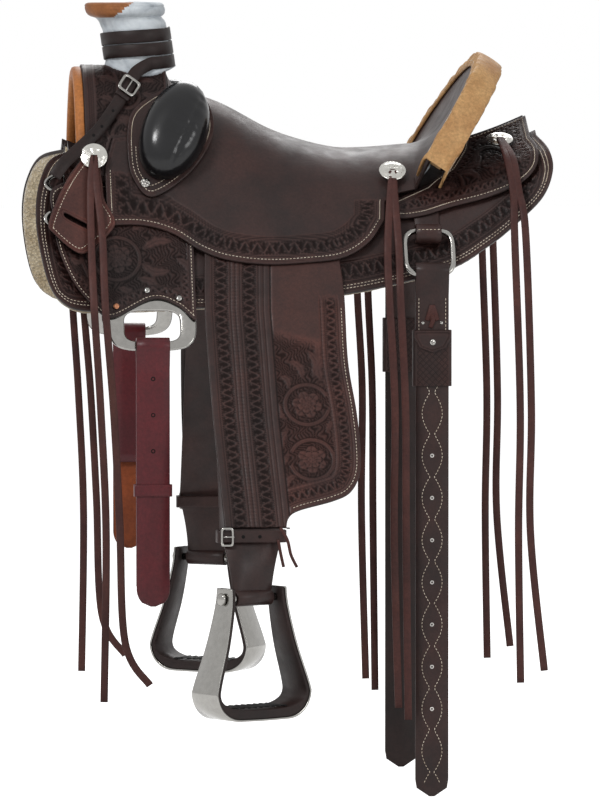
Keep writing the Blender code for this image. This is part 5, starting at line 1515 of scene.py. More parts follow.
def make_horn_strap():
    wound, run = horn_strap_line()
    free = curve_through(np.vstack([wound[-8:-7], wound[-1:], run]), 10)[10:]
    path = np.vstack([wound[:-1], free])
    blend = np.concatenate([np.zeros(len(wound) - 1), smooth_step(0, 12, np.arange(len(free)))])[:, None]
    ways = np.array([HORN_LEAN, 0, 1]) * (1 - blend) + FLAT_WAY * blend
    body, faces = strap_body(path, ways, STRAP_WIDTH, STRAP_THICK, crown=0.0002)
    placed(shown("horn_strap_leather", body, faces, "edge"), "root", "leather", "horn_strap")

    way = unit(run[2] - run[1])
    out, across = strap_face(way)
    centre = run[1] + out * (STRAP_THICK / 2 + 0.0022 + GAP)
    tongue = [(0, 0.0006), (0.0006, 0.0013), (0.0208, 0.0013), (0.0222, 0.0007)]
    pieces = [rounded_frame(centre, way, across, out, 0.013, 0.0135, 0.0035, 0.003),
              lathed(centre - way * 0.0112, way, tongue)]
    placed(merged("horn_strap_buckle", pieces, "steel"), "root", "stainless", "horn_buckle")
    way = unit(free[STRAP_KEEPER + 1] - free[STRAP_KEEPER - 1])
    out = strap_face(way)[0]
    body, faces = rounded_frame(free[STRAP_KEEPER], np.cross(out, way), out, way, 0.0105, 0.0036, 0.0016,
                                0.006)
    placed(shown("horn_strap_keeper", body, faces, "edge"), "root", "leather")
    spots, outs = [], []
    for x in STRAP_HOLES:
        index = int(np.argmin(np.abs(free[:, 0] - x)))
        outs.append(strap_face(unit(free[index + 1] - free[index - 1]))[0])
        spots.append(free[index] + outs[-1] * (STRAP_THICK / 2 + 0.0001))
    holes_on("horn_strap_holes", spots, outs, 0.0022)


# Seat and cantle

def seat_edge():
    front = FORK_REAR + GAP + 0.0005
    lower = [(x, 1 + (float(down_back(x, z, SEAT_IN)) - SHOULDER) / 0.1)
             for x, z in curve_through(JOCKEY_EDGE, 8)]
    half = [(front, 0.0), (front, 0.56), (-0.215, 0.60), (-0.262, 0.64), (-0.274, 0.80)] + lower + [
        (0.1015, 0.83), (0.116, 0.75), (DISH_START, DISH_WIDTH), (DISH_START + DISH_RUN, DISH_WIDTH),
        (DISH_START + DISH_RUN, 0.0),
    ]
    half = np.array([(u, float(to_w(v))) for u, v in half])
    return np.vstack([half, (half[1:-1] * [1, -1])[::-1]])


def seat_place(u, w, d):
    return on_seat(u, to_v(w), d)


def make_seat():
    def fine(u, w, edge):
        return ((edge < 0.045) & (np.abs(w) > 0.165)) | (u < -0.14) | (u > 0.12)

    flat = Flat(seat_edge(), 0.0022, fine)

    def relief(u, w, edge, run):
        lower = smooth_step(0.176, 0.184, np.abs(w)) * smooth_step(0.112, 0.098, u)
        border = stamped(edge, run, 0.0130, 0.0345, 0.018) + grooves(edge, 0.0110, 0.0365, 0.0395)
        return lower * border + groove(edge, 0.0035, 0.0010, 0.0005) * smooth_step(0.12, 0.10, u)

    dressed("seat", flat, seat_place, 0.0, JOCKEY, relief, (0.0070,),
            lambda u, w: (np.abs(w) > 0.178) & (u < 0.105), round_edge=0.0016)


def near_rim(v, out, up):
    """A point near the cantle's rim: out along the dish's normal, up beyond the rim."""
    v, out, up = np.broadcast_arrays(np.asarray(v, float), np.asarray(out, float), np.asarray(up, float))
    one = np.ones(v.shape)
    length = np.linalg.norm(dish(one, v) - dish(one * 0.8, v), axis=-1) / 0.2
    inner = on_seat(DISH_START + DISH_RUN * (1 + np.minimum(up, 0) / length), v, out)
    place = on_seat(one * (DISH_START + DISH_RUN), v, 0)
    normal = on_seat(one * (DISH_START + DISH_RUN), v, 1) - place
    rise = place - dish(one * 0.98, v)
    rise = unit(rise - normal * np.sum(rise * normal, axis=-1, keepdims=True))
    beyond = place + normal * out[..., None] + rise * up[..., None]
    return np.where((up < 0)[..., None], inner, beyond)


def make_cantle():
    depth = CANTLE_BOARD + 2 * CURVED_GAP
    stations = np.linspace(-DISH_WIDTH * 0.985, DISH_WIDTH * 0.985, 260)
    front, back = JOCKEY + CURVED_GAP, -depth - CANTLE_BACK - 2 * CURVED_GAP
    low, top = -BINDING_DEPTH, BINDING
    fold = 0.0009 * np.sin(stations * 61 + 1.7 * np.sin(stations * 17))
    fold += 0.0006 * np.sin(stations * 143 + 2.0)
    scallop = 0.0032 * np.abs(np.sin(stations / DISH_WIDTH * np.pi * 13)) - 0.0016
    middle = (front + back) / 2
    half = (front - back) / 2 + BINDING
    shape = [
        (front, low + 0.0004, 0, 0), (front, CURVED_GAP, 0, 0), (back, CURVED_GAP, 0, 0),
        (back, low + 0.0004, 0, -1),
        (back - BINDING * 0.4, low - 0.0004, 0.1, -1), (back - BINDING, low + 0.0010, 0.2, -1),
        (back - BINDING, low * 0.55, 1, 0), (back - BINDING, -0.0040, 1, 0),
    ]
    for turn in np.linspace(0, np.pi, 13):
        shape.append((middle - half * np.cos(turn), -0.0015 + (top + 0.0015) * np.sin(turn) ** 0.55, 0.8, 0))
    shape += [(front + BINDING, -0.0040, 1, 0), (front + BINDING, low * 0.55, 1, 0),
              (front + BINDING, low + 0.0010, 0.2, 0), (front + BINDING * 0.5, low, 0, 0)]
    body, faces = woven([
        near_rim(stations, out + (1 if out > middle else -1) * fold * folded, up + scalloped * scallop)
        for out, up, folded, scalloped in shape
    ])
    binding = shown("cantle_binding_leather", body, faces, "pale_tan")
    placed(binding, "root", "natural_leather", "cantle_binding")
    pieces = []
    for out in (front + BINDING, back - BINDING):
        row = near_rim(stations[4:-4], out, low * 0.62)
        way = near_rim(stations[4:-4], out + (0.003 if out > 0 else -0.003), low * 0.62) - row
        pieces.append(stitches(row, unit(way)))
    placed(merged("cantle_binding_thread", pieces, "thread"), "root", "leather")

    first, last = DISH_START + DISH_RUN * 0.32, DISH_START + DISH_RUN * 0.985
    wide = float(to_w(DISH_WIDTH * 0.74))
    flat = Flat([(first, -wide), (last, -wide), (last, wide), (first, wide)], 0.004)
    cover = leather("cantle_back_leather", flat, seat_place, -depth, -depth - CANTLE_BACK, "leather")
    placed(cover, "root", "leather", "cantle_back")


# Latigo holder and bucking rolls

HOLDER_SLOT = (-0.314, -0.0065, 0.0178, 0.0039)  # its place and half sizes


def make_holder():
    points = curve_through(HOLDER_EDGE, 8, closed=True)
    outline = np.stack([points[:, 0], to_w(-down_fork(points[:, 0], points[:, 1]))], -1)
    slot_x, slot_z, slot_long, slot_tall = HOLDER_SLOT
    c, s = squared(np.linspace(0, 2 * np.pi, 60, endpoint=False), 5)
    slot_w = float(to_w(-down_fork(slot_x, slot_z)))
    slot_edge = np.stack([slot_x + slot_long * c, slot_w + slot_tall * s], -1)
    start = JOCKEY + CURVED_GAP
    dressed("latigo_holder", Flat(outline, 0.0020, holes=[slot_edge]), on_fork, start, start + HOLDER,
            lambda x, w, edge, run: groove(edge, 0.0038, 0.0011, 0.0006), (0.0066,), everywhere,
            look="reddish")


ROLL_BASE_EDGE = [
    (-0.243, 0.084), (-0.2385, 0.1315), (-0.213, 0.156), (-0.172, 0.172), (-0.141, 0.161), (-0.126, 0.1315),
    (-0.131, 0.0975), (-0.162, 0.0553), (-0.211, 0.0254), (-0.236, 0.0485),
]
ROLL_BASE = 0.004
ROLL_HEIGHT = 0.040
ROLL_CENTRE = (-0.180, 0.107)
ROLL_LONG = 0.064
ROLL_SHORT = 0.043
ROLL_TILT = math.radians(62)
ROLL_PROFILE = [
    (0.02, 0.0), (0.36, 0.0), (0.68, 0.0), (0.97, 0.0), (1.0, 0.16), (0.98, 0.42), (0.88, 0.68), (0.68, 0.88),
    (0.38, 0.985), (0.10, 1.0), (0.01, 1.0),
]


ROLL_SCREW = (-0.2205, 0.0435)


def make_rolls():
    start = JOCKEY + CURVED_GAP
    top = start + ROLL_BASE
    points = curve_through(ROLL_BASE_EDGE, 8, closed=True)
    flat = Flat(np.stack([points[:, 0], to_w(down_fork(points[:, 0], points[:, 1]))], -1), 0.0026)
    profile = curve_through(ROLL_PROFILE, 4)
    profile = profile[np.concatenate([[True], np.abs(np.diff(profile, axis=0)).sum(1) > 0.004])]
    turn = round_angles(96)
    for side, name in SIDES:
        def place(x, w, d, side=side):
            return on_fork(x, w, d) * np.array([1, side, 1])

        dressed(f"roll_base_{name}", flat, place, start, top,
                lambda x, w, edge, run: groove(edge, 0.0030, 0.0010, 0.0005), (0.0058,), everywhere)
        sew(f"roll_base_{name}_thread_low", flat, place, top, (0.0115,), lambda x, w: w > 0.150)
        rings = []
        for scale, rise in profile:
            a = ROLL_LONG * np.cos(turn) * scale
            b = ROLL_SHORT * np.sin(turn) * scale
            x = ROLL_CENTRE[0] + a * math.cos(ROLL_TILT) - b * math.sin(ROLL_TILT)
            z = ROLL_CENTRE[1] + a * math.sin(ROLL_TILT) + b * math.cos(ROLL_TILT)
            from_seam = b + 0.40 * ROLL_SHORT
            seam = bell(from_seam, 0.0022) * (np.abs(a) < 0.05)
            pucker = bell(from_seam, 0.013) * np.sin(a * 520 + 1.3 * np.sin(a * 130))
            slack = np.sin(a * 85 + b * 60) * np.cos(b * 110 - a * 40)
            soft = (-0.0020 * seam + 0.00045 * pucker + 0.0004 * slack) * (rise > 0.1)
            rim_pucker = 0.0006 * np.sin(turn * 34) * (0.1 < rise < 0.5)
            depth = top + GAP + 0.0006 + ROLL_HEIGHT * rise + soft + rim_pucker
            rings.append(fork_side(x, down_fork(x, z), depth) * np.array([1, side, 1]))
        roll = shown(f"bucking_roll_{name}_pad", *ringed(rings), "black")
        placed(roll, "root", "patent_leather", f"bucking_roll_{name}")
        x, z = ROLL_SCREW
        w = float(to_w(down_fork(x, z)))
        spot = place(x, w, top)
        studs_on(f"roll_screw_{name}", [spot], [place(x, w, top + 0.01) - spot], 0.0068, cross_cut=True)


# Hanging straps

BILLET_WIDTH = 0.0445
BILLET_THICK = 0.003
LOOP_CLOSE = 0.0016
LOOP_FOOT = 0.030
LATIGOS = ((NEAR, "latigo", 0.345, 0.027), (FAR, "off_billet", 0.300, 0.120))  # how long, and the tail's end
LATIGO_PIVOT = np.array([-0.217, 0.2387, -0.1685])
LATIGO_BORE = 0.0098
LATIGO_POINT = 0.024
LATIGO_HOLES = (-0.042, -0.090, -0.138, -0.196)
LATIGO_KEEPER = (-0.1985, -0.1825)
BILLET_PIVOT = np.array([0.159, 0.20422, -0.07325])
BILLET_BORE = 0.0090
BILLET_POINT = 0.020
BILLET_LENGTH = 0.700
BILLET_TAIL = 0.560
BILLET_HOLES = 7
BILLET_FIRST_HOLE = -0.243
BILLET_HOLE_PITCH = 0.0566
KEEPER_TOP = 0.075
KEEPER_BOTTOM = 0.150
KEEPER_FLAP = [
    (-0.0255, -0.0755), (0.0255, -0.0755), (0.0245, -0.0850), (0.017, -0.0990), (0.0, -0.1050),
    (-0.017, -0.0990), (-0.0245, -0.0850),
]
KEEPER_SCREW = -0.0910
# The knot's bars: a place across, a height and a tilt
KNOT = [(-0.004, -0.052, 0.30), (0.004, -0.052, -0.30), (0.0, -0.052, 0.04), (0.001, -0.062, -2.8)]
UP = np.array([0.0, 0.0, 1.0])
RIGHT = np.array([1.0, 0.0, 0.0])


def hung(node_name, pivot, side, length, bore, tail, drop, looks, slot, point_length):
    """A strap doubled over a bar: up the inside, over, and down the outside to a pointed end."""
    middle = bore + BILLET_THICK / 2
    flat = LOOP_CLOSE + BILLET_THICK / 2
    inside_run = [(-flat, -length + tail), (-flat, (-length + tail - LOOP_FOOT) / 2), (-flat, -LOOP_FOOT)]
    over = [(middle * math.cos(t), drop + middle * math.sin(t)) for t in np.linspace(np.pi, 0, 25)]
    front = np.stack([np.full(60, flat), np.linspace(-LOOP_FOOT, -length, 60)], -1)
    line = np.vstack([spaced(inside_run, 0.012), over, front])
    points = stack(pivot[0], pivot[1] + side * line[:, 0], pivot[2] + line[:, 1])
    run = unit(np.gradient(line, axis=0))
    outs = stack(0, side * -run[:, 1], run[:, 0])
    taper = np.clip((line[:, 1] + length) / point_length, 0, 1)
    taper = np.where(line[:, 0] > 0, 0.16 + 0.84 * np.sqrt(taper * (2 - taper)), 1.0)
    body, faces = band(points, outs, BILLET_WIDTH * taper, BILLET_THICK, corner=0.0006, crown=0.0002)
    marks = [int(i % 10 == 1) for i in range(len(faces))]
    strap = shown(f"{node_name}_strap", body, faces, looks[0], marks=marks, more=[looks[1]])
    return placed(strap, node_name, slot, node_name)


def tube_sleeve(name, centre, first, second, half_first, half_second, wall, low, high, look, relief=None,
                rows=40):
    """A sleeve of leather with rounded corners round a strap that runs up and down."""
    c, s = squared(round_angles(240), 9)
    rings, depths = [], []
    heights = np.linspace(low, high, rows)
    for height in heights:
        a, b = (half_first + wall) * c, (half_second + wall) * s
        raised = relief(a, height) if relief is not None else 0 * a
        ends = min(height - low, high - height)
        scale = raised - 0.0006 * (1 - min(ends / 0.0012, 1))
        rings.append(centre + np.outer(a, first) + np.outer(b + np.sign(b) * scale, second) + UP * height)
        depths.append(raised)
    for height in (high, low):
        hollow = np.outer(half_first * c, first) + np.outer(half_second * s, second)
        rings.append(centre + hollow + UP * height)
        depths.append(0 * c)
    return shown(name, *ringed(rings, closed=True), look, values={"tool": np.concatenate(depths) * 1000})


def make_latigos():
    for side, node_name, length, tail in LATIGOS:
        pivot = LATIGO_PIVOT * [1, side, 1]
        out = np.array([0.0, side, 0.0])
        hung(node_name, pivot, side, length, LATIGO_BORE, tail, 0.0, ("latigo", "latigo_back"),
             "latigo_leather", LATIGO_POINT)
        face = LOOP_CLOSE + BILLET_THICK
        spots = [pivot + out * (face + 0.0001) + UP * z for z in LATIGO_HOLES]
        holes_on(f"{node_name}_holes", spots, [out] * len(spots), 0.0031, rides=node_name,
                 slot="latigo_leather")
        if side == NEAR:
            sleeve = tube_sleeve("latigo_keeper", pivot, RIGHT, out, BILLET_WIDTH / 2 + 0.0012,
                                 face + 0.0004, 0.0020, *LATIGO_KEEPER, "latigo", rows=8)
            placed(sleeve, node_name, "latigo_leather")


def basket(a, height):
    """A basket weave pressed into the sleeve's face."""
    cell = 0.0085
    u, v = (a + height) / cell, (a - height) / cell
    check = (np.floor(u) + np.floor(v)) % 2
    ribs = np.where(check > 0.5, np.abs(np.sin(np.pi * u * 3)), np.abs(np.sin(np.pi * v * 3)))
    cell_edge = np.minimum(np.abs(u - np.round(u)), np.abs(v - np.round(v)))
    face = np.abs(a) < BILLET_WIDTH / 2 - 0.001
    return face * (-0.0007 + 0.0006 * ribs * smooth_step(0.02, 0.16, cell_edge))


def make_flank_billets():
    for side, name in SIDES:
        pivot = BILLET_PIVOT * [1, side, 1]
        out = np.array([0.0, side, 0.0])
        rides = f"flank_billet_{name}"
        hung(rides, pivot, side, BILLET_LENGTH, BILLET_BORE, BILLET_TAIL, 0.003, ("leather", "edge"),
             "leather", BILLET_POINT)
        face = LOOP_CLOSE + BILLET_THICK
        surface = pivot + out * (face + 0.0001)
        spots = [surface + UP * (BILLET_FIRST_HOLE - BILLET_HOLE_PITCH * i) for i in range(BILLET_HOLES)]
        holes_on(f"{rides}_holes", spots, [out] * BILLET_HOLES, 0.0027, "eyelet", rides=rides)
        pieces = []
        heights = np.linspace(-0.152, -0.680, 420)
        phase = (heights - BILLET_FIRST_HOLE) / BILLET_HOLE_PITCH
        swing = 0.0030 + 0.0105 * np.abs(np.sin(np.pi * (phase + 0.5)))
        for sign in (-1, 1):
            for across, down in ((swing, heights), (0.0180, np.linspace(-0.034, -0.074, 30))):
                row = surface + stack(sign * across, 0, down)
                pieces.append(stitches(row, np.tile(out, (len(row), 1))))
        placed(merged(f"{rides}_thread", pieces, "thread"), rides, "leather")
        wall = 0.003
        keeper = tube_sleeve(f"flank_keeper_{name}_sleeve", pivot, RIGHT, out, BILLET_WIDTH / 2 + CURVED_GAP,
                             face + CURVED_GAP, wall, -KEEPER_BOTTOM, -KEEPER_TOP, "leather", basket, rows=90)
        placed(keeper, rides, "leather", f"flank_keeper_{name}")
        top = face + CURVED_GAP + wall

        def on_sleeve(a, b, d):
            return pivot + out * (top + d)[:, None] + RIGHT * a[:, None] + UP * b[:, None]
        flap = leather(f"flank_keeper_{name}_flap", Flat(KEEPER_FLAP, 0.0022), on_sleeve, 0.0002, 0.0026,
                       "leather", lambda a, b, edge, run: groove(edge, 0.0030))
        placed(flap, rides, "leather")
        spot = pivot + out * (top + 0.0026) + UP * KEEPER_SCREW
        studs_on(f"flank_keeper_{name}_screw", [spot], [out], RIVET, rides=rides, cross_cut=True)
        knot = []
        for dx, z, tilt in KNOT:
            way = np.array([math.sin(tilt), 0, math.cos(tilt)]) * 0.0105
            place = surface + out * 0.0018 + RIGHT * dx + UP * z
            points = curve_through([place - way - out * 0.0016, place, place + way - out * 0.0016], 6)
            knot.append(flat_band(points, out, 0.0058, 0.0026))
        placed(merged(f"{rides}_thong_knot", knot, "string"), rides, "string_leather")
        spots = [surface + RIGHT * dx - UP * 0.0655 for dx in (-0.0125, 0.0125)]
        studs_on(f"{rides}_rivets", spots, [out] * 2, 0.0022, rides=rides)


REAR_RING_RADIUS = 0.032
REAR_RING_WIRE = 0.0038
HANGER_BORE = 0.0100
HANGER_WALL = 0.003
HANGER_DROP = 0.0045
HANGER_WIDTH = 0.034
HANGER_X = 0.157


def make_rear_rings():
    for side, name in SIDES:
        low, high = (np.array(corner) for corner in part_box(f"rear_ring_{name}"))
        centre = (low + high) / 2
        down = np.array([0, side * math.cos(SIDE_ANGLE), -math.sin(SIDE_ANGLE)])
        out = np.array([0, side * math.sin(SIDE_ANGLE), math.cos(SIDE_ANGLE)])
        around = round_angles(16)
        a = np.sign(np.cos(around)) * np.abs(np.cos(around)) ** 0.75
        b = np.sign(np.sin(around)) * np.abs(np.sin(around)) ** 0.75
        rings = []
        for turn in round_angles(120):
            away = RIGHT * math.cos(turn) - down * math.sin(turn)
            square = (math.cos(turn) ** 4 + math.sin(turn) ** 4) ** (-1 / 4)
            wire_at = centre + away * (REAR_RING_RADIUS * square)
            rings.append(wire_at + np.outer(a * REAR_RING_WIRE * 0.97, away)
                         + np.outer(b * REAR_RING_WIRE * 0.84, out))
        ring_body = shown(f"rear_ring_{name}_steel", *ringed(rings, closed=True), "steel")
        placed(ring_body, f"rear_ring_{name}", "stainless", f"rear_ring_{name}")

        middle = centre - down * (REAR_RING_RADIUS - HANGER_DROP)
        turns = np.radians(np.linspace(-165, 155, 60))
        outs = np.outer(np.cos(turns), out) - np.outer(np.sin(turns), down)
        pieces = [band(middle + (HANGER_BORE + HANGER_WALL / 2) * outs, outs, HANGER_WIDTH, HANGER_WALL)]
        foot = float(down_back(HANGER_X, middle[2], UNDER_IN))
        t = np.linspace(foot, foot - 0.040, 24)
        path = on_back(HANGER_X, t, UNDER_IN + STRAP / 2, side)
        outs = on_back(HANGER_X, t, UNDER_IN + STRAP, side) - path
        pieces.append(band(path, outs, HANGER_WIDTH - 2 * GAP, STRAP))
        hanger = merged(f"rear_hanger_{name}_leather", pieces, "leather")
        placed(hanger, "root", "leather", f"rear_hanger_{name}")
        face = middle + out * (HANGER_BORE + HANGER_WALL + 0.0001)
        face = face + np.outer(np.linspace(-0.013, 0.013, 12), RIGHT)
        row = stitches(face, np.tile(out, (12, 1)))
        placed(merged(f"rear_hanger_{name}_thread", [row], "thread"), "root", "leather")


# Fenders, stirrup leathers and stirrups

LEATHER_LEFT = -0.1375
LEATHER_WIDTH = 0.082
LEATHER_TOP = -0.036
DROP_START = -0.404
BOLT_X = -0.097
BOLT_Z = -0.492
NECK_REACH = 0.020
NECK_WIDTH = 0.060
BOLT_RADIUS = 0.005
STIRRUP_TURN = math.radians(33)
HOBBLE_Z = -0.412
HOBBLE_WIDTH = 0.016
HOBBLE_DEEP = 0.0105
HOBBLE_WALL = 0.003
HOBBLE_LACES = [
    [(0.036, 0.010, 0.012), (0.045, 0.013, -0.004), (0.050, 0.012, -0.024), (0.058, 0.011, -0.040)],
    [(0.034, 0.004, -0.004), (0.037, 0.006, -0.022), (0.041, 0.006, -0.040)],
]
FENDER_LEAVES = [
    (0.006, -0.214, 0.014, -0.176, 0.0095, 0.2), (-0.006, -0.208, -0.012, -0.172, 0.0090, -0.2),
    (-0.020, -0.210, -0.036, -0.186, 0.0085, -0.2), (-0.038, -0.222, -0.050, -0.205, 0.0065, -0.2),
    (0.002, -0.192, 0.002, -0.158, 0.0070, 0.0), (-0.044, -0.262, -0.052, -0.240, 0.0070, 0.2),
    (-0.042, -0.276, -0.050, -0.300, 0.0080, -0.2), (-0.042, -0.310, -0.052, -0.330, 0.0075, -0.2),
    (-0.034, -0.334, -0.048, -0.352, 0.0070, -0.2), (-0.010, -0.344, -0.030, -0.358, 0.0065, 0.2),
    (0.012, -0.278, 0.018, -0.262, 0.0050, 0.1), (0.016, -0.226, 0.020, -0.200, 0.0060, 0.2),
    (0.004, -0.346, 0.016, -0.338, 0.0050, 0.1),
]


def fender_left(z):
    return np.interp(-z, [0.036, 0.120, 0.260, 0.375, 0.402], [-0.143, -0.146, -0.141, -0.133, -0.1315])


def make_fenders():
    points = curve_through(FENDER_EDGE, 10, closed=True)
    outline = np.stack([points[:, 0], down_back(points[:, 0], points[:, 1], PLATE_IN)], -1)
    flat = Flat(outline, 0.0017)

    def height(x, t):
        return flat_side(x, t, PLATE_TOP, FAR)[..., 2]

    def relief(x, t, edge, run):
        z = height(x, t)
        b = up(z)
        s = x - fender_left(z)
        strap = smooth_step(0.0865, 0.0855, s)
        bands = (stamped(s, t, 0.0115, 0.0315, 0.0165) + stamped(s, t, 0.0490, 0.0690, 0.0165)
                 + beads(s, t, 0.0375) + beads(s, t, 0.0430)
                 + grooves(s, 0.0095, 0.0340, 0.0403, 0.0465, 0.0712, 0.0780))
        flap = smooth_step(0.0880, 0.0890, s)
        border = (stamped(edge, run, 0.0125, 0.0270, 0.013) + beads(edge, run, 0.0310)
                  + grooves(edge, 0.0105, 0.0285, 0.0335)) * smooth_step(-0.098, -0.112, z)
        figures = leaves(x, b, FENDER_LEAVES, at)
        for centre, turn, start in ((at(-0.0155, -0.2430), 0.2, 0.4), (at(-0.0120, -0.3140), 0.5, 3.4)):
            figures += [rosette(x, b, centre, 0.0215, 6, turn),
                        ring(x, b, centre, 0.0290, 0.0028, start, 5.6)]
        field = flap * smooth_step(0.0345, 0.0355, edge) * smooth_step(-0.150, -0.172, z + 0.25 * (x + 0.02))
        seam = groove(s, 0.0872, 0.0013, 0.0010)
        return strap * bands + flap * border + carved(x, b, field, figures) + seam

    for side, name in SIDES:
        rides = f"fender_{name}"
        dressed(rides, flat, laid(flat_side, side), PLATE_IN, PLATE_TOP, relief, (0.0055,),
                lambda x, t: (x > -0.040) & (height(x, t) < -0.118), rides,
                patch=("warm", lambda x, t: x - fender_left(height(x, t)) > 0.0885))
        make_stirrup_leather(side, name, rides)


def bolt_centre(side):
    t = down_back(BOLT_X, DROP_START, UNDER_IN + STRAP / 2)
    edge = flat_side(BOLT_X, t, UNDER_IN + STRAP / 2, side)
    return np.array([BOLT_X, edge[1] + side * NECK_REACH, BOLT_Z])


def neck_axes(side, part=1.0):
    """The ways across a stirrup leather and out from it, a part of the way down its turned neck."""
    turn = STIRRUP_TURN * part * (-side)
    return np.array([math.cos(turn), math.sin(turn), 0]), np.array([-math.sin(turn), math.cos(turn), 0])


def make_stirrup_leather(side, name, rides):
    middle = LEATHER_LEFT + LEATHER_WIDTH / 2
    d = UNDER_IN + STRAP / 2
    levels = [LEATHER_TOP, -0.20, DROP_START + 0.03, DROP_START]
    path = [flat_side(middle, down_back(middle, z, d), d, side) for z in levels]
    rows = [[*p, 1, 0, 0, LEATHER_WIDTH, STRAP] for p in path]
    bolt, last = bolt_centre(side), path[-1]
    for part in (0.25, 0.5, 0.75, 1.0):
        place = last + (bolt - last) * np.array([part, 1 - (1 - part) ** 2, part])
        width = LEATHER_WIDTH + (NECK_WIDTH - LEATHER_WIDTH) * min(1, part * 1.6)
        rows.append([*place, *neck_axes(side, part)[0], width, STRAP * (1.0 if part < 0.3 else 1.4)])
    rows = curve_through(rows, 8)
    neck = strap_body(rows[:, :3], rows[:, 3:6], rows[:, 6], rows[:, 7])
    way = neck_axes(side)[0]
    half, wall, bore = NECK_WIDTH / 2, BOLT_RADIUS + 0.0055, BOLT_RADIUS + GAP
    sleeve = [(0.0005, bore), (0, wall - 0.001), (0.001, wall), (2 * half - 0.001, wall),
              (2 * half, wall - 0.001), (2 * half - 0.0005, bore)]
    sleeve = lathed(bolt - way * half, way, sleeve, closed=True)
    strap = merged(f"stirrup_leather_{name}_strap", [neck, sleeve], "leather")
    placed(strap, rides, "leather", f"stirrup_leather_{name}")

    part = (DROP_START - HOBBLE_Z) / (DROP_START - BOLT_Z)
    centre = flat_side(middle, down_back(middle, DROP_START + 0.004, d), d, side)
    place = np.array([centre[0] + (bolt[0] - centre[0]) * part,
                      centre[1] + (bolt[1] - centre[1]) * (1 - (1 - part) ** 2), HOBBLE_Z])
    first, out = neck_axes(side, part)
    out = out * side
    hobble = tube_sleeve(f"hobble_strap_{name}_loop", place, first, out, LEATHER_WIDTH / 2 + 0.002,
                         HOBBLE_DEEP, HOBBLE_WALL, -HOBBLE_WIDTH / 2, HOBBLE_WIDTH / 2, "leather", rows=10)
    placed(hobble, rides, "leather", f"hobble_strap_{name}")
    face = place + out * (HOBBLE_DEEP + HOBBLE_WALL)
    pieces = [
        rounded_frame(face + out * 0.0022 - first * 0.0335, first, UP, out, 0.0085, 0.0125, 0.0026, 0.0026),
        lathed(face + out * 0.0022 - first * 0.0418, first, [(0, 0.0008), (0.0168, 0.0011), (0.018, 0.0006)]),
    ]
    placed(merged(f"hobble_buckle_{name}", pieces, "steel"), rides, "stainless")
    spots = [face + out * 0.0002 + first * a for a in (-0.012, 0.010)]
    holes_on(f"hobble_holes_{name}", spots, [out] * 2, 0.0023, rides=rides)
    laces = []
    for points in HOBBLE_LACES:
        line = curve_through([place + first * a + out * (HOBBLE_DEEP + b) + UP * c for a, b, c in points], 6)
        laces.append(strap_body(line, np.tile(first + out * 0.4, (len(line), 1)), 0.0042, 0.0018))
    placed(merged(f"hobble_laces_{name}", laces, "string"), rides, "string_leather")


STIRRUP_TOP_HALF = 0.046
STIRRUP_FOOT_HALF = 0.078
STIRRUP_DROP = 0.158
STIRRUP_RISE = 0.014
METAL = 0.0025
LINING = 0.005
TREAD = 0.012
ARM_DEPTH = 0.030
FOOT_DEPTH = 0.056
FOOT_FLAT = 0.022
# Corners of the hoop's section: a share of its thickness, a side, and whether the bevel takes it in
HOOP_SECTION = [(0, -1, 1), (0, 1, 1), (0.12, 1, 0), (0.88, 1, 0), (1, 1, 1), (1, -1, 1), (0.88, -1, 0),
                (0.12, -1, 0)]


def hoop_line(inset, foot_inset):
    top, foot = STIRRUP_TOP_HALF - inset, STIRRUP_FOOT_HALF - inset
    low = -STIRRUP_DROP + foot_inset
    return [
        (top, STIRRUP_RISE), (top + 0.002, -0.012), (top + (foot - top) * 0.42, -0.062),
        (foot - 0.002, -0.112), (foot, -0.128), (foot - 0.008, -0.146 + foot_inset * 0.6), (foot - 0.026, low),
        (FOOT_FLAT, low - 0.002),
    ]


def hoop_body(inset, thick, foot_thick, depth_top, depth_foot, frame_of):
    rows = []
    for (a, b), (c, d) in zip(hoop_line(inset, inset), hoop_line(inset + thick, inset + foot_thick)):
        share = min(1, max(0, (0.02 - b) / 0.15))
        rows.append([a, b, c, d, depth_top + (depth_foot - depth_top) * share])
    rows += [[-a, b, -c, d, depth] for a, b, c, d, depth in reversed(rows)]
    rows = curve_through(rows, 7)
    lines = []
    for share, side, in_from in HOOP_SECTION:
        across = rows[:, 0] + (rows[:, 2] - rows[:, 0]) * share
        tall = rows[:, 1] + (rows[:, 3] - rows[:, 1]) * share
        lines.append(stack(across, side * (rows[:, 4] / 2 - 0.0006 * in_from), tall))
    body, faces = woven(lines)
    return frame_of(body), faces


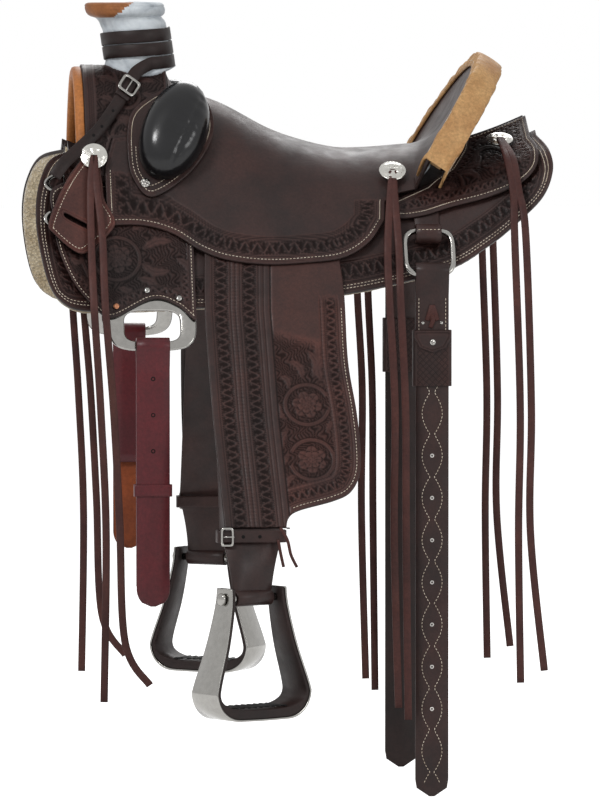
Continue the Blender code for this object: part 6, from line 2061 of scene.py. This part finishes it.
def make_stirrups():
    reach = STIRRUP_TOP_HALF + 0.006
    start, head = STIRRUP_TOP_HALF + 0.0025, BOLT_RADIUS + 0.003
    long = reach + 0.001 - start
    head_profile = [(0, head - 0.0006), (0.0006, head), (long - 0.001, head), (long, head - 0.0015)]
    grip_level = -STIRRUP_DROP + METAL + TREAD + 0.0012
    for side, name in SIDES:
        bolt = bolt_centre(side)
        way, deep = neck_axes(side)
        rides = f"stirrup_{name}"

        def frame_of(points):
            return bolt + points @ np.array([way, deep, UP])
        hoop = hoop_body(0, METAL, METAL, ARM_DEPTH, FOOT_DEPTH, frame_of)
        placed(shown(f"stirrup_{name}_steel", *hoop, "steel"), rides, "stainless", f"stirrup_{name}")
        lining = hoop_body(METAL + GAP, LINING, TREAD, ARM_DEPTH - 0.002, FOOT_DEPTH - 0.002, frame_of)
        placed(shown(f"tread_{name}_leather", *lining, "edge"), rides, "leather", f"tread_{name}")
        pieces = [lathed(bolt - way * reach, way, [(0, BOLT_RADIUS), (2 * reach, BOLT_RADIUS)])]
        pieces += [lathed(bolt + way * sign * start, way * sign, head_profile) for sign in (-1, 1)]
        placed(merged(f"stirrup_bolt_{name}_steel", pieces, "steel"), f"fender_{name}", "stainless",
               f"stirrup_bolt_{name}")
        pieces = []
        for a in np.linspace(-0.04, 0.04, 9):
            row = frame_of(np.array([a, 0.0, grip_level])) + np.outer(np.linspace(-0.022, 0.022, 7), deep)
            pieces.append(flat_band(row, UP, 0.0042, 0.0016))
        placed(merged(f"tread_{name}_grip", pieces, "rubber"), rides, "leather")


# The tree and the ground seat keep their own shapes

TREE_LOOKS = {
    "tree_fork": "wood", "tree_cantle": "wood", "tree_bar_left": "edge", "tree_bar_right": "edge",
    "ground_seat": "hide", "fork_cover": "leather",
}


def dress_tree():
    """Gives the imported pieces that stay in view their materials."""
    for name, look in TREE_LOOKS.items():
        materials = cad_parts[name].data.materials
        materials.clear()
        materials.append(LOOKS[look])


for make in (
    make_skirts, make_fleeces, make_rear_jockeys, make_rigging_plates, make_rings, make_fork, make_horn,
    make_horn_strap, make_seat, make_cantle, make_holder, make_rolls, make_latigos, make_flank_billets,
    make_rear_rings, make_fenders, make_stirrups, dress_tree,
):
    make()


# Floor, lamps and world

FLOOR_Z = -0.80
FLOOR_GLOW = 0.70
FLOOR_REACH = 30.0
WORLD_GREY = 0.40
LAMPS = [
    ("key", (-2.4, -3.2, 3.2), 120, 1.2, (0, 0, -0.2)), ("fill", (2.8, -3.2, 1.2), 36, 1.6, (0, 0, -0.2)),
    ("back", (0.6, 3.4, 2.6), 60, 2.2, (0, 0, -0.1)),
]


def either(tree, first, second):
    return node(tree, "ShaderNodeMath", {0: first, 1: second}, operation="MAXIMUM").outputs[0]


def make_floor():
    mesh = bpy.data.meshes.new("floor")
    corners = [(x * FLOOR_REACH, y * FLOOR_REACH, FLOOR_Z) for x, y in ((-1, -1), (1, -1), (1, 1), (-1, 1))]
    mesh.from_pydata(corners, [], [(0, 1, 2, 3)])
    floor = bpy.data.objects.new("floor", mesh)
    bpy.context.scene.collection.objects.link(floor)
    made, tree, shader, where = material("floor")
    path = node(tree, "ShaderNodeLightPath").outputs
    glow = either(tree, path["Is Camera Ray"], path["Is Glossy Ray"])
    white = node(tree, "ShaderNodeMath", {0: glow, 1: FLOOR_GLOW}, operation="MULTIPLY")
    wire(tree, shader, {
        "Base Color": ramp(tree, noise(tree, where, 2.0), (0.3, 0.80), (0.7, 0.84)), "Roughness": 0.9,
        "Emission Color": (1, 1, 1, 1), "Emission Strength": white.outputs[0],
    })
    mesh.materials.append(made)


def make_lamp(name, place, energy, size, target):
    data = bpy.data.lights.new(name, "AREA")
    data.shape = "DISK"
    data.size = size
    data.energy = energy
    lamp = bpy.data.objects.new(name, data)
    lamp.location = place
    lamp.rotation_euler = (Vector(place) - Vector(target)).to_track_quat("Z", "Y").to_euler()
    bpy.context.scene.collection.objects.link(lamp)


def make_world():
    world = bpy.data.worlds.new("world")
    bpy.context.scene.world = world
    world.use_nodes = True
    tree = world.node_tree
    path = node(tree, "ShaderNodeLightPath").outputs
    seen_by = either(tree, path["Is Camera Ray"], path["Is Glossy Ray"])
    seen_by = either(tree, seen_by, path["Is Transmission Ray"])
    wire(tree, tree.nodes["Background"], {
        "Color": mixed(tree, seen_by, (WORLD_GREY,) * 3, (1.0, 1.0, 1.0)), "Strength": 1.0,
    })


make_floor()
for lamp in LAMPS:
    make_lamp(*lamp)
make_world()

scene = bpy.context.scene
scene.view_settings.view_transform = "Standard"
